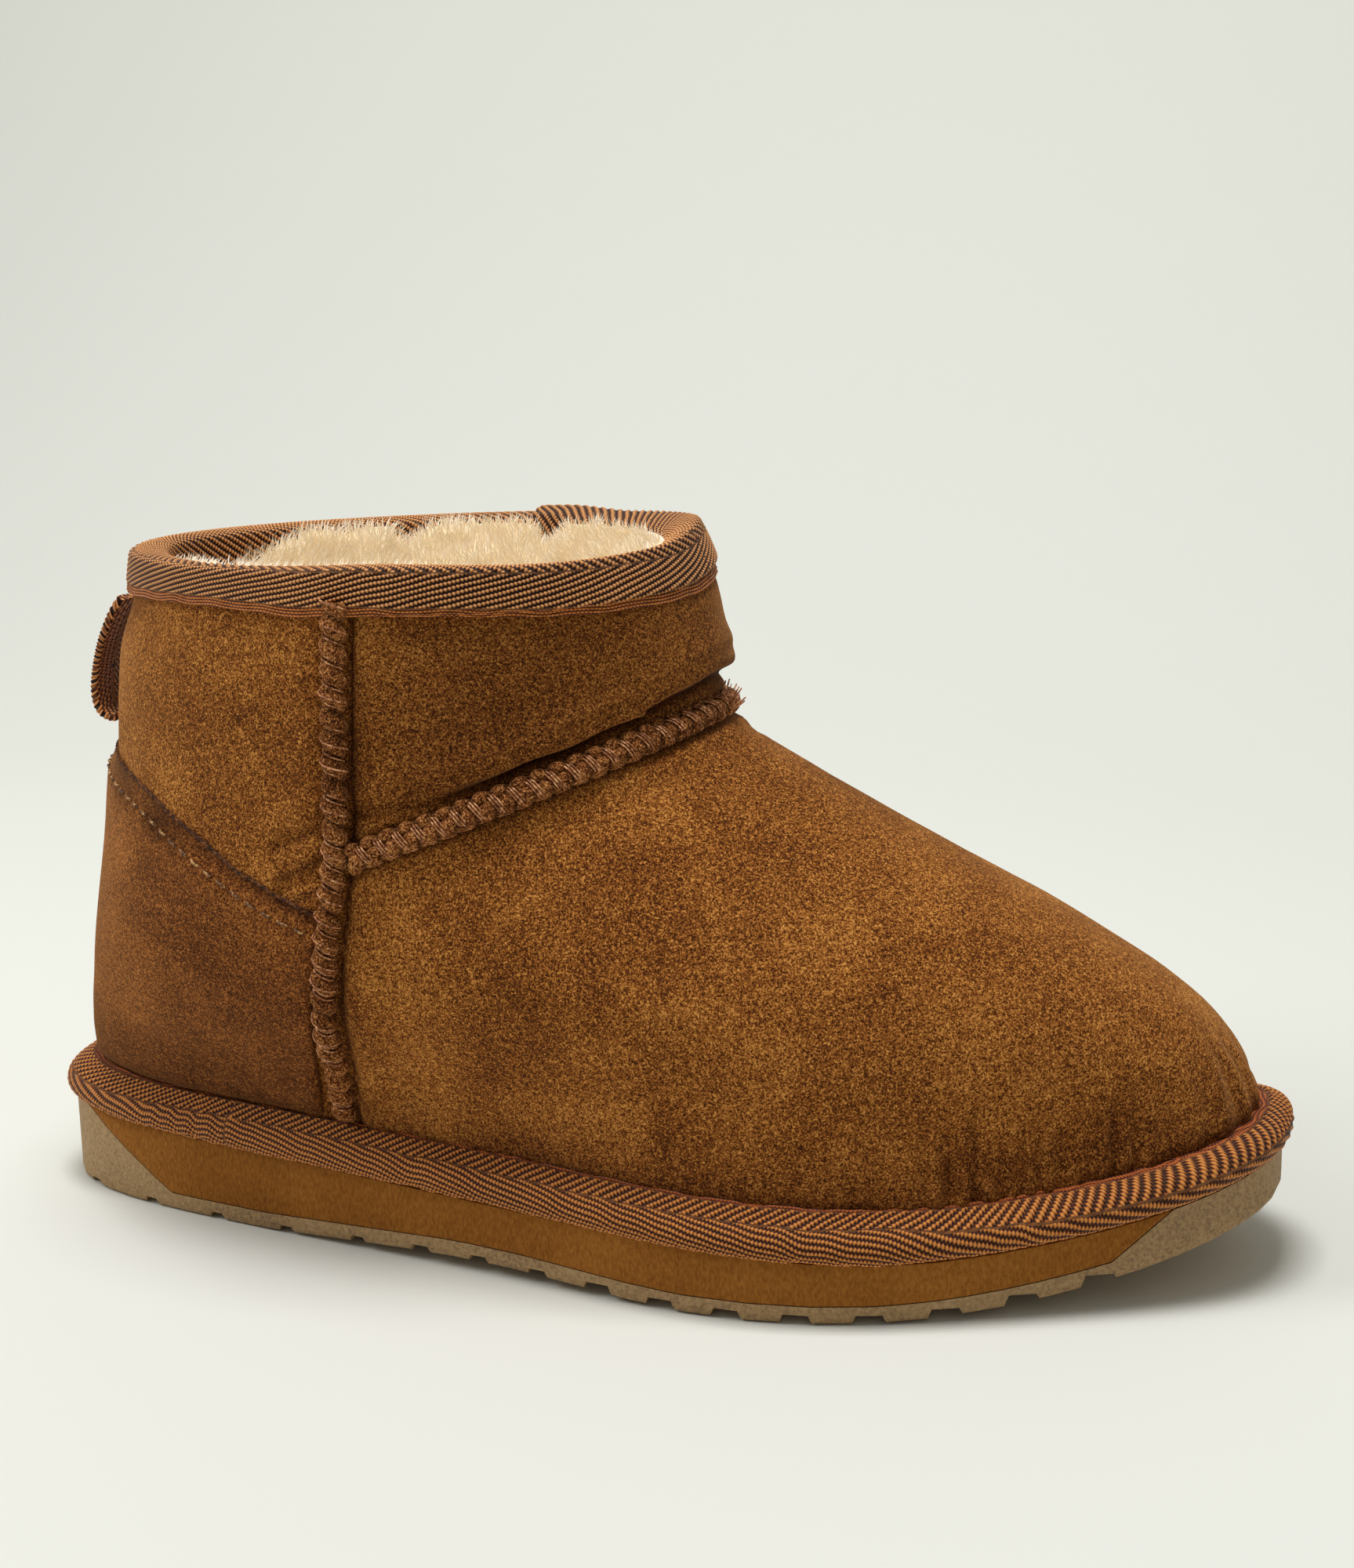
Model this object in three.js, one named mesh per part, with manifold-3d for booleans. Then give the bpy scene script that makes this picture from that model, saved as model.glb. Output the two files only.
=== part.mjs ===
// Ankle-high sheepskin boot for the right foot, standing on its sole.
// Millimetres. The toe points to +X, the lateral (outer) side to -Y and the shaft to +Z.
import * as THREE from "three";
import { mergeVertices } from "three/addons/utils/BufferGeometryUtils.js";
import Module from "manifold-3d";

// Driving dimensions
const SOLE_LENGTH = 268;
const HEEL_X = -SOLE_LENGTH / 2;
const TOE_X = SOLE_LENGTH / 2;
const GAP = 0.3; // clearance between pieces that are stitched or cemented together
const STATIONS = 64; // points round the foot, from the heel back to the heel
const TOE_SPRING = 16; // lift of the toe tip above the floor
const ARCH_LIFT = 2.2; // lift of the waist between heel and ball
const TOE_SWING = 9; // the forefoot leans towards the medial side
const UPPER_INSET = 6.6; // the upper stands this far inside the sole's edge
const WALL = { base: 8, instep: 9, shaft: 9, collar: 5 }; // suede and fleece together
const OUTSOLE_LAYER = 4.2; // rubber under the midsole, lugs included
const INSOLE_THICKNESS = 8;
const TAPE_HEIGHT = 9.4; // welt binding round the bottom of the upper
const BINDING_LEVEL = 1.82; // where the collar binding's outer leg ends
const LINING_LEG_LEVEL = 1.9; // where its inner leg ends
const BINDING_THICKNESS = 1.3;
const SEAM_RADIUS = 2.3; // whipped seam beads
const COUNTER_GAP = 0.8; // its back, clear of the hollow curve above the heel
const COUNTER_THICKNESS = 1.3;
const LOOP_WIDTH = 15;
const LOOP_THICKNESS = 1.7;

const lerp = THREE.MathUtils.lerp;
const smoothstep = (x, low, high) => THREE.MathUtils.smoothstep(x, low, high);
const clamp01 = (x) => THREE.MathUtils.clamp(x, 0, 1);

// A smooth curve of one variable through its stops, which never overshoots them.
function profile(...stops) {
  const last = stops.length - 1;
  const slopes = [];
  for (let i = 0; i < last; i++) {
    slopes.push((stops[i + 1][1] - stops[i][1]) / (stops[i + 1][0] - stops[i][0]));
  }
  const tangents = stops.map((stop, i) => {
    if (i === 0) return slopes[0];
    if (i === last) return slopes[last - 1];
    const product = slopes[i - 1] * slopes[i];
    return product <= 0 ? 0 : (2 * product) / (slopes[i - 1] + slopes[i]);
  });
  return (x) => {
    let i = 0;
    while (i < last - 1 && x > stops[i + 1][0]) i++;
    const span = stops[i + 1][0] - stops[i][0];
    const t = clamp01((x - stops[i][0]) / span);
    const rise = stops[i + 1][1] - stops[i][1];
    const start = tangents[i] * span;
    const end = tangents[i + 1] * span;
    const bend = 3 * rise - 2 * start - end;
    return stops[i][1] + start * t + bend * t ** 2 + (start + end - 2 * rise) * t ** 3;
  };
}

// The place where a rising function reaches a value, by halving.
function solve(rising, value, low, high) {
  for (let i = 0; i < 34; i++) {
    const middle = (low + high) / 2;
    if (rising(middle) < value) low = middle;
    else high = middle;
  }
  return (low + high) / 2;
}

// The last in plan: half-widths by the share of the sole's length from the heel
const halfWidths = {
  lateral: profile([0, 34.5], [0.16, 35.5], [0.42, 43], [0.68, 54], [0.88, 45.6], [1, 42.5]),
  medial: profile([0, 35], [0.16, 36], [0.42, 34.5], [0.68, 47], [0.88, 45.6], [1, 42.5]),
};
const HEEL_ROUNDING = 3.1; // powers of the superellipse that closes each end of the sole
const TOE_ROUNDING = 2.6;

function roundedEnds(share, heelPower, toePower) {
  const power = share < 0.5 ? heelPower : toePower;
  return clamp01(1 - Math.abs(2 * share - 1) ** power) ** (1 / power);
}

// Angle 0 is the back of the heel and PI the toe, by way of the lateral side.
const shareAt = (angle) => (1 - Math.cos(angle)) / 2;
const sideAt = (angle) => (Math.sin(angle) >= 0 ? -1 : 1);
const swingAt = (share) => TOE_SWING * smoothstep(share, 0.45, 1);

function halfWidth(share, side) {
  return side < 0 ? halfWidths.lateral(share) : halfWidths.medial(share);
}

// Underside of the sole and the top of its wall, by x
function groundHeight(x) {
  const share = (x - HEEL_X) / SOLE_LENGTH;
  const spring = clamp01((x - 0.22 * SOLE_LENGTH) / (0.28 * SOLE_LENGTH)) ** 2;
  const arch = clamp01(1 - ((share - 0.41) / 0.2) ** 2) ** 2;
  return TOE_SPRING * spring + ARCH_LIFT * arch;
}

const wedge = profile([0, 19.4], [0.12, 18], [0.3, 17], [0.5, 15], [0.72, 12.4], [0.86, 11.2], [1, 9.6]);

function soleTop(x) {
  const share = clamp01((x - HEEL_X) / SOLE_LENGTH);
  const spring = clamp01((x - 0.22 * SOLE_LENGTH) / (0.28 * SOLE_LENGTH)) ** 2;
  return wedge(share) + TOE_SPRING * spring;
}

// A point on the sole's edge, moved outwards in plan by a distance
function solePoint(angle, outwards = 0) {
  const edge = (a) => {
    const share = shareAt(a);
    const side = sideAt(a);
    const reach = roundedEnds(share, HEEL_ROUNDING, TOE_ROUNDING) * halfWidth(share, side);
    return new THREE.Vector2(lerp(HEEL_X, TOE_X, share), swingAt(share) + side * reach);
  };
  const step = 0.02;
  const along = edge(angle + step).sub(edge(angle - step)).normalize();
  const point = edge(angle);
  return new THREE.Vector2(point.x + along.y * outwards, point.y - along.x * outwards);
}

// The upper in side view, by level: 0 at the sole, 1 at the vamp seam, 2 at the collar.
const TOE_TOP = soleTop(TOE_X);
const HEEL_TOP = soleTop(HEEL_X);
const frontX = profile(
  [0, TOE_X - UPPER_INSET],
  [0.15, 127],
  [0.35, 121.6],
  [0.6, 93.7],
  [0.82, 58.4],
  [1, 18.2],
  [1.12, 19.9],
  [1.5, 19.4],
  [1.7, 18.2],
  [1.82, 16.4],
  [2, 13],
);
const frontZ = profile(
  [0, TOE_TOP],
  [0.15, 39.3],
  [0.35, 49.8],
  [0.6, 69.3],
  [0.82, 87.5],
  [1, 111.2],
  [1.12, 115],
  [1.5, 128.5],
  [2, 147.2],
);
const backX = profile(
  [0, HEEL_X + UPPER_INSET],
  [0.4, -126.9],
  [1, -125.2],
  [1.3, -118.6],
  [1.42, -117.4],
  [1.7, -114.9],
  [1.82, -111.4],
  [1.9, -110.2],
  [2, -109.8],
);
const backZ = profile([0, HEEL_TOP], [0.4, 36.9], [1, 53.4], [1.4, 100], [1.7, 123.9], [2, 141.6]);
const shaftHalfWidth = profile([0, 53.7], [0.5, 53.7], [1, 49.2], [1.5, 48.6], [2, 46.2]);
const heelPower = profile([0, HEEL_ROUNDING], [0.4, 2.5], [1, 1.9], [2, 1.9]);
const toePower = profile([0, TOE_ROUNDING], [0.4, 2.3], [1, 1.9], [2, 1.9]);
const footBulge = profile([0, 0], [0.35, 1.5], [1, 0]);
const COLLAR_DIP = 1.4; // the collar's sides hang a little lower than its ends

function upperPoint(angle, level) {
  const share = shareAt(angle);
  const side = sideAt(angle);
  const shaft = smoothstep(level, 0, 1);
  const x = lerp(backX(level), frontX(level), share);
  let z = lerp(backZ(level), frontZ(level), share);
  z += (soleTop(x) - lerp(HEEL_TOP, TOE_TOP, share)) * (1 - smoothstep(level, 0, 0.5));
  z -= COLLAR_DIP * smoothstep(level, 1.2, 2) * Math.sin(angle) ** 2;
  const foot = halfWidth(share, side) - UPPER_INSET + footBulge(level);
  const reach = lerp(foot, shaftHalfWidth(level), shaft);
  const ends = roundedEnds(share, heelPower(level), toePower(level));
  const centre = swingAt(share) * (1 - shaft);
  return new THREE.Vector3(x, centre + side * ends * reach, z + GAP);
}

// Outward normal of the upper; at the crease over the vamp seam it is the mean of both sides.
function upperNormal(angle, level, low = 0, high = 2) {
  const turn = 0.02;
  const climb = 0.01;
  const around = upperPoint(angle + turn, level).sub(upperPoint(angle - turn, level));
  const above = upperPoint(angle, Math.min(level + climb, high));
  const below = upperPoint(angle, Math.max(level - climb, low));
  return around.cross(above.sub(below)).normalize();
}

function offsetPoint(angle, level, distance) {
  return upperPoint(angle, level).addScaledVector(upperNormal(angle, level), distance);
}

const wallAt = profile([0, WALL.base], [1, WALL.instep], [1.6, WALL.shaft], [2, WALL.collar]);

// The hollow's own surface, pushed inwards by a further distance
function innerPoint(angle, level, inwards = 0) {
  const point = offsetPoint(angle, level, -wallAt(level) - inwards);
  if (level === 0) point.z = soleTop(point.x) + GAP;
  return point;
}

// Level at which the upper has risen by a height above the sole's top
function levelAtRise(angle, rise) {
  const height = (level) => {
    const point = upperPoint(angle, level);
    return point.z - soleTop(point.x);
  };
  return solve(height, rise, 0, 0.9);
}

// Solids from sections: each is a loop of the same number of points.
function signedVolume(points, faces) {
  let sum = 0;
  for (const [a, b, c] of faces) {
    sum += points[a].dot(points[b].clone().cross(points[c]));
  }
  return sum / 6;
}

function geometryOf(points, faces) {
  const outwards = signedVolume(points, faces) > 0 ? faces : faces.map(([a, b, c]) => [a, c, b]);
  const geometry = new THREE.BufferGeometry().setFromPoints(points);
  geometry.setIndex(outwards.flat());
  return geometry;
}

// Ladder of faces across a loop, between the points on either side of its first one
function capFaces(first, count, flipped) {
  const at = (i) => first + (i % count);
  const faces = [];
  for (let i = 0; i < Math.ceil(count / 2); i++) {
    const near = [at(i), at(i + 1)];
    const far = [at(count - i), at(count - i - 1)];
    if (near[0] !== far[0]) faces.push([near[0], near[1], far[0]]);
    if (near[1] !== far[1]) faces.push([near[1], far[1], far[0]]);
  }
  return flipped ? faces.map(([a, b, c]) => [a, c, b]) : faces;
}

// Joins loops one after another; the last joins the first, or both ends are capped.
function sweep(sections, closed) {
  const count = sections[0].length;
  const points = sections.flat();
  const faces = [];
  const spans = closed ? sections.length : sections.length - 1;
  for (let s = 0; s < spans; s++) {
    const here = s * count;
    const next = ((s + 1) % sections.length) * count;
    for (let i = 0; i < count; i++) {
      const j = (i + 1) % count;
      faces.push([here + i, next + i, next + j], [here + i, next + j, here + j]);
    }
  }
  if (!closed) {
    faces.push(...capFaces(0, count, false));
    faces.push(...capFaces(points.length - count, count, true));
  }
  return geometryOf(points, faces);
}

const stationAngles = Array.from({ length: STATIONS }, (_, i) => (i / STATIONS) * 2 * Math.PI);

function sweepRound(sectionAt) {
  return sweep(stationAngles.map(sectionAt), true);
}

// Booleans
const wasm = await Module();
wasm.setup();

function solidOf(geometry) {
  const bare = new THREE.BufferGeometry();
  bare.setAttribute("position", geometry.getAttribute("position"));
  bare.setIndex(geometry.getIndex());
  const merged = mergeVertices(bare, 1e-3);
  const vertProperties = merged.getAttribute("position").array;
  const triVerts = new Uint32Array(merged.getIndex().array);
  return new wasm.Manifold(new wasm.Mesh({ numProp: 3, vertProperties, triVerts }));
}

function geometryFrom(solid) {
  const mesh = solid.getMesh();
  const geometry = new THREE.BufferGeometry();
  geometry.setAttribute("position", new THREE.BufferAttribute(mesh.vertProperties, 3));
  geometry.setIndex(new THREE.BufferAttribute(mesh.triVerts, 1));
  return geometry;
}

// A prism across the boot, from an outline of [x, z] points
function acrossBoot(outline) {
  const shape = new THREE.Shape(outline.map(([x, z]) => new THREE.Vector2(x, z)));
  const breadth = 200;
  const prism = new THREE.ExtrudeGeometry(shape, { depth: breadth, bevelEnabled: false });
  prism.rotateX(Math.PI / 2);
  prism.translate(0, breadth / 2, 0);
  return solidOf(prism);
}

// Sole: one block, then split into the wedge midsole and the outsole with its bumpers
const SOLE_EDGE_ROUND = 1.2;

function soleRing(outwards, heightAt) {
  return stationAngles.map((angle) => {
    const point = solePoint(angle, outwards);
    return new THREE.Vector3(point.x, point.y, heightAt(point.x));
  });
}

const soleBlock = solidOf(
  sweep(
    [
      soleRing(-SOLE_EDGE_ROUND, groundHeight),
      soleRing(-0.3, (x) => groundHeight(x) + 0.45),
      soleRing(0, (x) => groundHeight(x) + SOLE_EDGE_ROUND),
      soleRing(0, (x) => lerp(groundHeight(x), soleTop(x), 0.5)),
      soleRing(0, soleTop),
    ],
    false,
  ),
);

// The midsole seen from the side: its ends slope, so that the outsole's bumpers overlap them.
const HEEL_SLOPE = { foot: -99, top: -124, topZ: 19.2 };
const TOE_SLOPE = { foot: 105.5, top: 115.6, topZ: 19.4 };
const ABOVE_SOLE = 45;

// Where a sloping end stands at a height, with the outline grown outwards by a clearance
function slopePoint(slope, z, grown) {
  const footZ = groundHeight(slope.foot) + OUTSOLE_LAYER;
  const run = slope.top - slope.foot;
  const climb = slope.topZ - footZ;
  const sideways = (Math.sign(run) * grown * Math.hypot(run, climb)) / climb;
  return [slope.foot + (run * (z - footZ)) / climb + sideways, z];
}

function midsoleOutline(grown) {
  const floorAt = (x) => groundHeight(x) + OUTSOLE_LAYER - grown;
  const outline = [slopePoint(HEEL_SLOPE, ABOVE_SOLE, grown)];
  outline.push(slopePoint(HEEL_SLOPE, floorAt(HEEL_SLOPE.foot), grown));
  const steps = 32;
  for (let i = 1; i < steps; i++) {
    const x = lerp(HEEL_SLOPE.foot, TOE_SLOPE.foot, i / steps);
    outline.push([x, floorAt(x)]);
  }
  outline.push(slopePoint(TOE_SLOPE, floorAt(TOE_SLOPE.foot), grown));
  outline.push(slopePoint(TOE_SLOPE, ABOVE_SOLE, grown));
  return outline;
}

// Grooves across the tread leave flat lugs
const GROOVE_RUNS = [
  { first: -123.3, pitch: 18.3, count: 5, width: 4.4, depth: 1.6 },
  { first: -34.5, pitch: 13.8, count: 3, width: 5.2, depth: 1.6 },
  { first: 6.9, pitch: 13.8, count: 8, width: 6.6, depth: 2.1 },
];

function groovePrism(x, width, depth) {
  const below = groundHeight(x) - 4;
  const roof = groundHeight(x) + depth;
  const flare = 1.6;
  return acrossBoot([
    [x - width / 2 - flare, below],
    [x + width / 2 + flare, below],
    [x + width / 2 - 0.8, roof],
    [x - width / 2 + 0.8, roof],
  ]);
}

const midsole = geometryFrom(soleBlock.intersect(acrossBoot(midsoleOutline(0))));

function makeOutsole() {
  let solid = soleBlock.subtract(acrossBoot(midsoleOutline(GAP)));
  for (const run of GROOVE_RUNS) {
    for (let i = 0; i < run.count; i++) {
      solid = solid.subtract(groovePrism(run.first + i * run.pitch, run.width, run.depth));
    }
  }
  return geometryFrom(solid);
}

// Upper: one hollow wall of suede and fleece, open at the collar and over the sole
const OUTER_LEVELS = [
  0, 0.07, 0.14, 0.22, 0.3, 0.39, 0.48, 0.57, 0.66, 0.75, 0.83, 0.9, 0.96, 1,
  1.05, 1.12, 1.22, 1.34, 1.46, 1.58, 1.7, 1.82, 1.91, 2,
];
const INNER_LEVELS = [2, 1.9, 1.75, 1.5, 1.25, 1.06, 0.94, 0.75, 0.55, 0.35, 0.15, 0];

const upper = sweepRound((angle) => [
  ...OUTER_LEVELS.map((level) => upperPoint(angle, level)),
  ...INNER_LEVELS.map((level) => innerPoint(angle, level)),
]);

// Insole: a sheepskin footbed that fills the hollow's floor
function insoleRing(inset, rise) {
  return stationAngles.map((angle) => {
    const point = innerPoint(angle, 0, inset);
    return new THREE.Vector3(point.x, point.y, soleTop(point.x) + GAP + rise);
  });
}

const insole = sweep(
  [
    insoleRing(0.5, 0),
    insoleRing(0.5, INSOLE_THICKNESS - 2),
    insoleRing(1.1, INSOLE_THICKNESS - 0.6),
    insoleRing(2.4, INSOLE_THICKNESS),
  ],
  false,
);

// Welt binding: a woven tape round the foot, padded out over the sole's edge
const TAPE_SWELL = [
  [-1.9, 8],
  [0.8, 6.3],
  [2.1, 4.1],
  [2.1, 2],
  [0.7, GAP],
];

const weltBinding = sweepRound((angle) => {
  const lip = upperPoint(angle, 0);
  const foot = offsetPoint(angle, 0, GAP);
  foot.z = lip.z;
  const against = [0.5, 1].map((share) => {
    return offsetPoint(angle, levelAtRise(angle, share * TAPE_HEIGHT), GAP);
  });
  const edge = offsetPoint(angle, levelAtRise(angle, TAPE_HEIGHT + 0.2), GAP + 1.3);
  const swell = TAPE_SWELL.map(([outwards, rise]) => {
    const point = solePoint(angle, outwards);
    return new THREE.Vector3(point.x, point.y, soleTop(point.x) + rise);
  });
  return [foot, ...against, edge, ...swell];
});

// Collar binding: the same tape folded over the collar's edge
const collarBinding = sweepRound((angle) => {
  const up = (point, height) => point.add(new THREE.Vector3(0, 0, height));
  const outer = (level, distance) => offsetPoint(angle, level, distance);
  const inner = (level, distance) => innerPoint(angle, level, distance);
  const skin = GAP + BINDING_THICKNESS;
  const middle = outer(2, -WALL.collar / 2);
  return [
    outer(BINDING_LEVEL, GAP),
    up(outer(2, GAP), GAP),
    up(inner(2, GAP), GAP),
    inner(LINING_LEG_LEVEL, GAP),
    inner(LINING_LEG_LEVEL, skin),
    inner(1.95, skin + 0.2),
    up(inner(2, skin * 0.8), skin * 0.7),
    up(middle, skin * 1.25),
    up(outer(2, skin * 0.8), skin * 0.7),
    outer(1.92, skin + 0.3),
    outer(BINDING_LEVEL, skin),
  ];
});

// Side seams: they rise from the welt binding to the collar, leaning back below the ankle
const seamX = profile([20, -53.4], [36, -52.2], [54, -49.8], [72, -46.8], [94, -44.4], [140, -43]);

// Angle, on the lateral side, at which the upper crosses the side seam
function seamAngle(level) {
  const ahead = (angle) => {
    const point = upperPoint(angle, level);
    return point.x - seamX(point.z);
  };
  return solve(ahead, 0, 0.4, 2.6);
}

// A D-shaped bead that lies along a path of frames on the upper
function bead(frames, radius) {
  const corners = 8;
  const sections = frames.map(({ point, direction, normals }) => {
    const outwards = normals[0].clone().add(normals[1]).normalize();
    const across = direction.clone().cross(outwards).normalize();
    const centre = point.clone().addScaledVector(outwards, radius * 0.3);
    return Array.from({ length: corners }, (_, i) => {
      const turn = ((i + 0.5) / corners) * 2 * Math.PI;
      const corner = centre.clone();
      corner.addScaledVector(outwards, -Math.cos(turn) * radius);
      corner.addScaledVector(across, Math.sin(turn) * radius);
      // what would sink into the upper is pressed flat against it
      for (let pass = 0; pass < 4; pass++) {
        for (const normal of normals) {
          const height = corner.clone().sub(point).dot(normal);
          if (height < GAP + 0.1) corner.addScaledVector(normal, GAP + 0.1 - height);
        }
      }
      return corner;
    });
  });
  return sweep(sections, false);
}

function framesAlong(points, normalsAt) {
  return points.map((point, i) => {
    const before = points[Math.max(i - 1, 0)];
    const after = points[Math.min(i + 1, points.length - 1)];
    const direction = after.clone().sub(before).normalize();
    return { point, direction, normals: normalsAt(i) };
  });
}

function sideSeam(side) {
  const steps = 26;
  const bottom = levelAtRise(seamAngle(0.15), TAPE_HEIGHT + 1.1);
  const top = BINDING_LEVEL - 0.012;
  const spots = Array.from({ length: steps + 1 }, (_, i) => {
    const level = lerp(bottom, top, i / steps);
    const angle = seamAngle(level);
    return { level, angle: side < 0 ? angle : medialTwin(level) };
  });
  const points = spots.map(({ angle, level }) => upperPoint(angle, level));
  const frames = framesAlong(points, (i) => {
    const normal = upperNormal(spots[i].angle, spots[i].level);
    return [normal, normal];
  });
  return bead(frames, SEAM_RADIUS);
}

// The same place on the medial side, as an angle past the toe
function medialTwin(level) {
  return 2 * Math.PI - seamAngle(level);
}

// Vamp seam: the thick whipped bead in the crease where the shaft meets the vamp
function vampSeam() {
  const steps = 44;
  const clearOfSide = 4.2;
  const start = solve((angle) => upperPoint(angle, 1).x, seamX(89) + clearOfSide, 0.4, 2.6);
  const turns = Array.from({ length: steps + 1 }, (_, i) => lerp(start, 2 * Math.PI - start, i / steps));
  const points = turns.map((angle) => upperPoint(angle, 1));
  const beyond = 0.03;
  const frames = framesAlong(points, (i) => [
    upperNormal(turns[i], 1 + beyond, 1, 1.06),
    upperNormal(turns[i], 1 - beyond, 0.94, 1),
  ]);
  return bead(frames, SEAM_RADIUS);
}

// Heel counter: a second layer of suede round the heel, between the side seams
const counterTop = profile([-130, 101.5], [-114, 100.5], [-96, 96.5], [-79, 89], [-64, 81.5], [-44, 73.5]);

function heelCounter() {
  const columns = 38;
  const rows = 7;
  const clearOfSeam = 0.055; // angle between the seam's middle and the counter's edge
  const sections = Array.from({ length: columns + 1 }, (_, c) => {
    const across = (2 * c) / columns - 1;
    const angleAt = (level) => (seamAngle(level) - clearOfSeam) * -across;
    const rise = (level) => {
      const point = upperPoint(angleAt(level), level);
      return point.z - soleTop(point.x);
    };
    const low = solve(rise, TAPE_HEIGHT + 1.2, 0, 0.9);
    const excess = (level) => {
      const point = upperPoint(angleAt(level), level);
      return point.z - counterTop(point.x);
    };
    const high = solve(excess, 0, 0.3, 1.8);
    const levels = Array.from({ length: rows + 1 }, (_, r) => lerp(low, high, r / rows));
    const at = (level, distance) => offsetPoint(angleAt(level), level, distance);
    return [
      ...levels.map((level) => at(level, COUNTER_GAP + COUNTER_THICKNESS)),
      ...levels.reverse().map((level) => at(level, COUNTER_GAP)),
    ];
  });
  return sweep(sections, false);
}

// Pull loop: a strap sewn under the binding at the back, bowed out and folded in again
const LOOP_PATH = [
  [-115.4, 131.2],
  [-117.4, 128.6],
  [-120.4, 123],
  [-122.6, 116.5],
  [-123.6, 110],
  [-122.8, 106.2],
  [-120.8, 104.7],
  [-118.9, 104.6],
];

function pullLoop() {
  const curve = new THREE.CatmullRomCurve3(LOOP_PATH.map(([x, z]) => new THREE.Vector3(x, 0, z)));
  const steps = 22;
  const corner = 0.35;
  const sections = curve.getSpacedPoints(steps).map((point, i) => {
    const tangent = curve.getTangentAt(i / steps);
    const outwards = new THREE.Vector3(-tangent.z, 0, tangent.x).multiplyScalar(-1);
    const at = (y, thickness) => {
      return new THREE.Vector3(point.x, y, point.z).addScaledVector(outwards, thickness);
    };
    const halfWide = LOOP_WIDTH / 2;
    const halfThick = LOOP_THICKNESS / 2;
    return [
      at(-halfWide, 0),
      at(-halfWide + corner, halfThick),
      at(halfWide - corner, halfThick),
      at(halfWide, 0),
      at(halfWide - corner, -halfThick),
      at(-halfWide + corner, -halfThick),
    ];
  });
  return sweep(sections, false);
}

// Materials
const finish = (color, roughness) => {
  return new THREE.MeshStandardMaterial({ color, roughness, metalness: 0 });
};
const SUEDE = finish(0x8a5a2b, 0.95);
const TAPE = finish(0x8c5228, 0.85);
const THREAD = finish(0x9a7040, 0.9);
const FLEECE = finish(0xf0deb0, 1);
const WEDGE_FOAM = finish(0x8a5a1a, 0.75);
const RUBBER = finish(0xa08b70, 0.8);

const pieces = {
  outsole: [makeOutsole(), RUBBER],
  midsole: [midsole, WEDGE_FOAM],
  insole: [insole, FLEECE],
  upper: [upper, SUEDE],
  heel_counter: [heelCounter(), SUEDE],
  welt_binding: [weltBinding, TAPE],
  collar_binding: [collarBinding, TAPE],
  side_seam_lateral: [sideSeam(-1), THREAD],
  side_seam_medial: [sideSeam(1), THREAD],
  vamp_seam: [vampSeam(), THREAD],
  pull_loop: [pullLoop(), TAPE],
};

const boot = new THREE.Group();
for (const [name, [geometry, material]] of Object.entries(pieces)) {
  const mesh = new THREE.Mesh(geometry, material);
  mesh.name = name;
  boot.add(mesh);
}

// The origin is under the middle of the boot's box, on the floor.
const bounds = new THREE.Box3().setFromObject(boot);
const middle = bounds.getCenter(new THREE.Vector3());
boot.position.set(-middle.x, -middle.y, -bounds.min.z);

export default boot;
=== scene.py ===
from math import atan2, cos, degrees, exp, pi, radians, sin, tau

import bmesh
import bpy
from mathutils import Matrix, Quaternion, Vector, noise
from mathutils.bvhtree import BVHTree
from mathutils.kdtree import KDTree


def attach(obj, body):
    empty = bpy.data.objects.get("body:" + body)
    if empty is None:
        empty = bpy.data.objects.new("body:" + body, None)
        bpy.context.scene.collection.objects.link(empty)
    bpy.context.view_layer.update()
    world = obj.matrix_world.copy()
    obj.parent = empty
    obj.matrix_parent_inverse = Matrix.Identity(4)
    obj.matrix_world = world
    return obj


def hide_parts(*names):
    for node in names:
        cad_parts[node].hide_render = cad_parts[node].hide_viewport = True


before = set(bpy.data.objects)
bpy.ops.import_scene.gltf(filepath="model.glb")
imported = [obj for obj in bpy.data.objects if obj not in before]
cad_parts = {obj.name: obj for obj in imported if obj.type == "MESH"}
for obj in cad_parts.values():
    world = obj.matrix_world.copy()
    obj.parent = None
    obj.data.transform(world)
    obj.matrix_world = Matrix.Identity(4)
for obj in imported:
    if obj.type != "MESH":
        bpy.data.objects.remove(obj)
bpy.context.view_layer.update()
MM = 0.001
UP = Vector((0, 0, 1))


# Outsole: one moulding of taupe rubber with square transverse grooves across its tread.
# It sweeps up in a wedge at the heel and at the toe, and the foam midsole is cemented into it.


def paint(code):
    """An sRGB hex colour as the linear colour that a shader socket takes."""
    parts = [int(code[i:i + 2], 16) / 255 for i in (1, 3, 5)]
    return tuple(p / 12.92 if p <= 0.04045 else ((p + 0.055) / 1.055) ** 2.4 for p in parts) + (1.0,)


def node(tree, kind, settings=None, links=None):
    """One node with its settings and its links; "stops" are a colour ramp's places and hex colours."""
    made = tree.nodes.new(kind)
    for name, value in (settings or {}).items():
        if name == "stops":
            ramp = made.color_ramp
            while len(ramp.elements) < len(value):
                ramp.elements.new(0.5)
            for element, (place, code) in zip(ramp.elements, value):
                element.position = place
                element.color = paint(code)
        elif isinstance(name, int) or name in made.inputs:
            made.inputs[name].default_value = value
        else:
            setattr(made, name, value)
    for name, (source, socket) in (links or {}).items():
        tree.links.new(source.outputs[socket], made.inputs[name])
    return made


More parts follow.
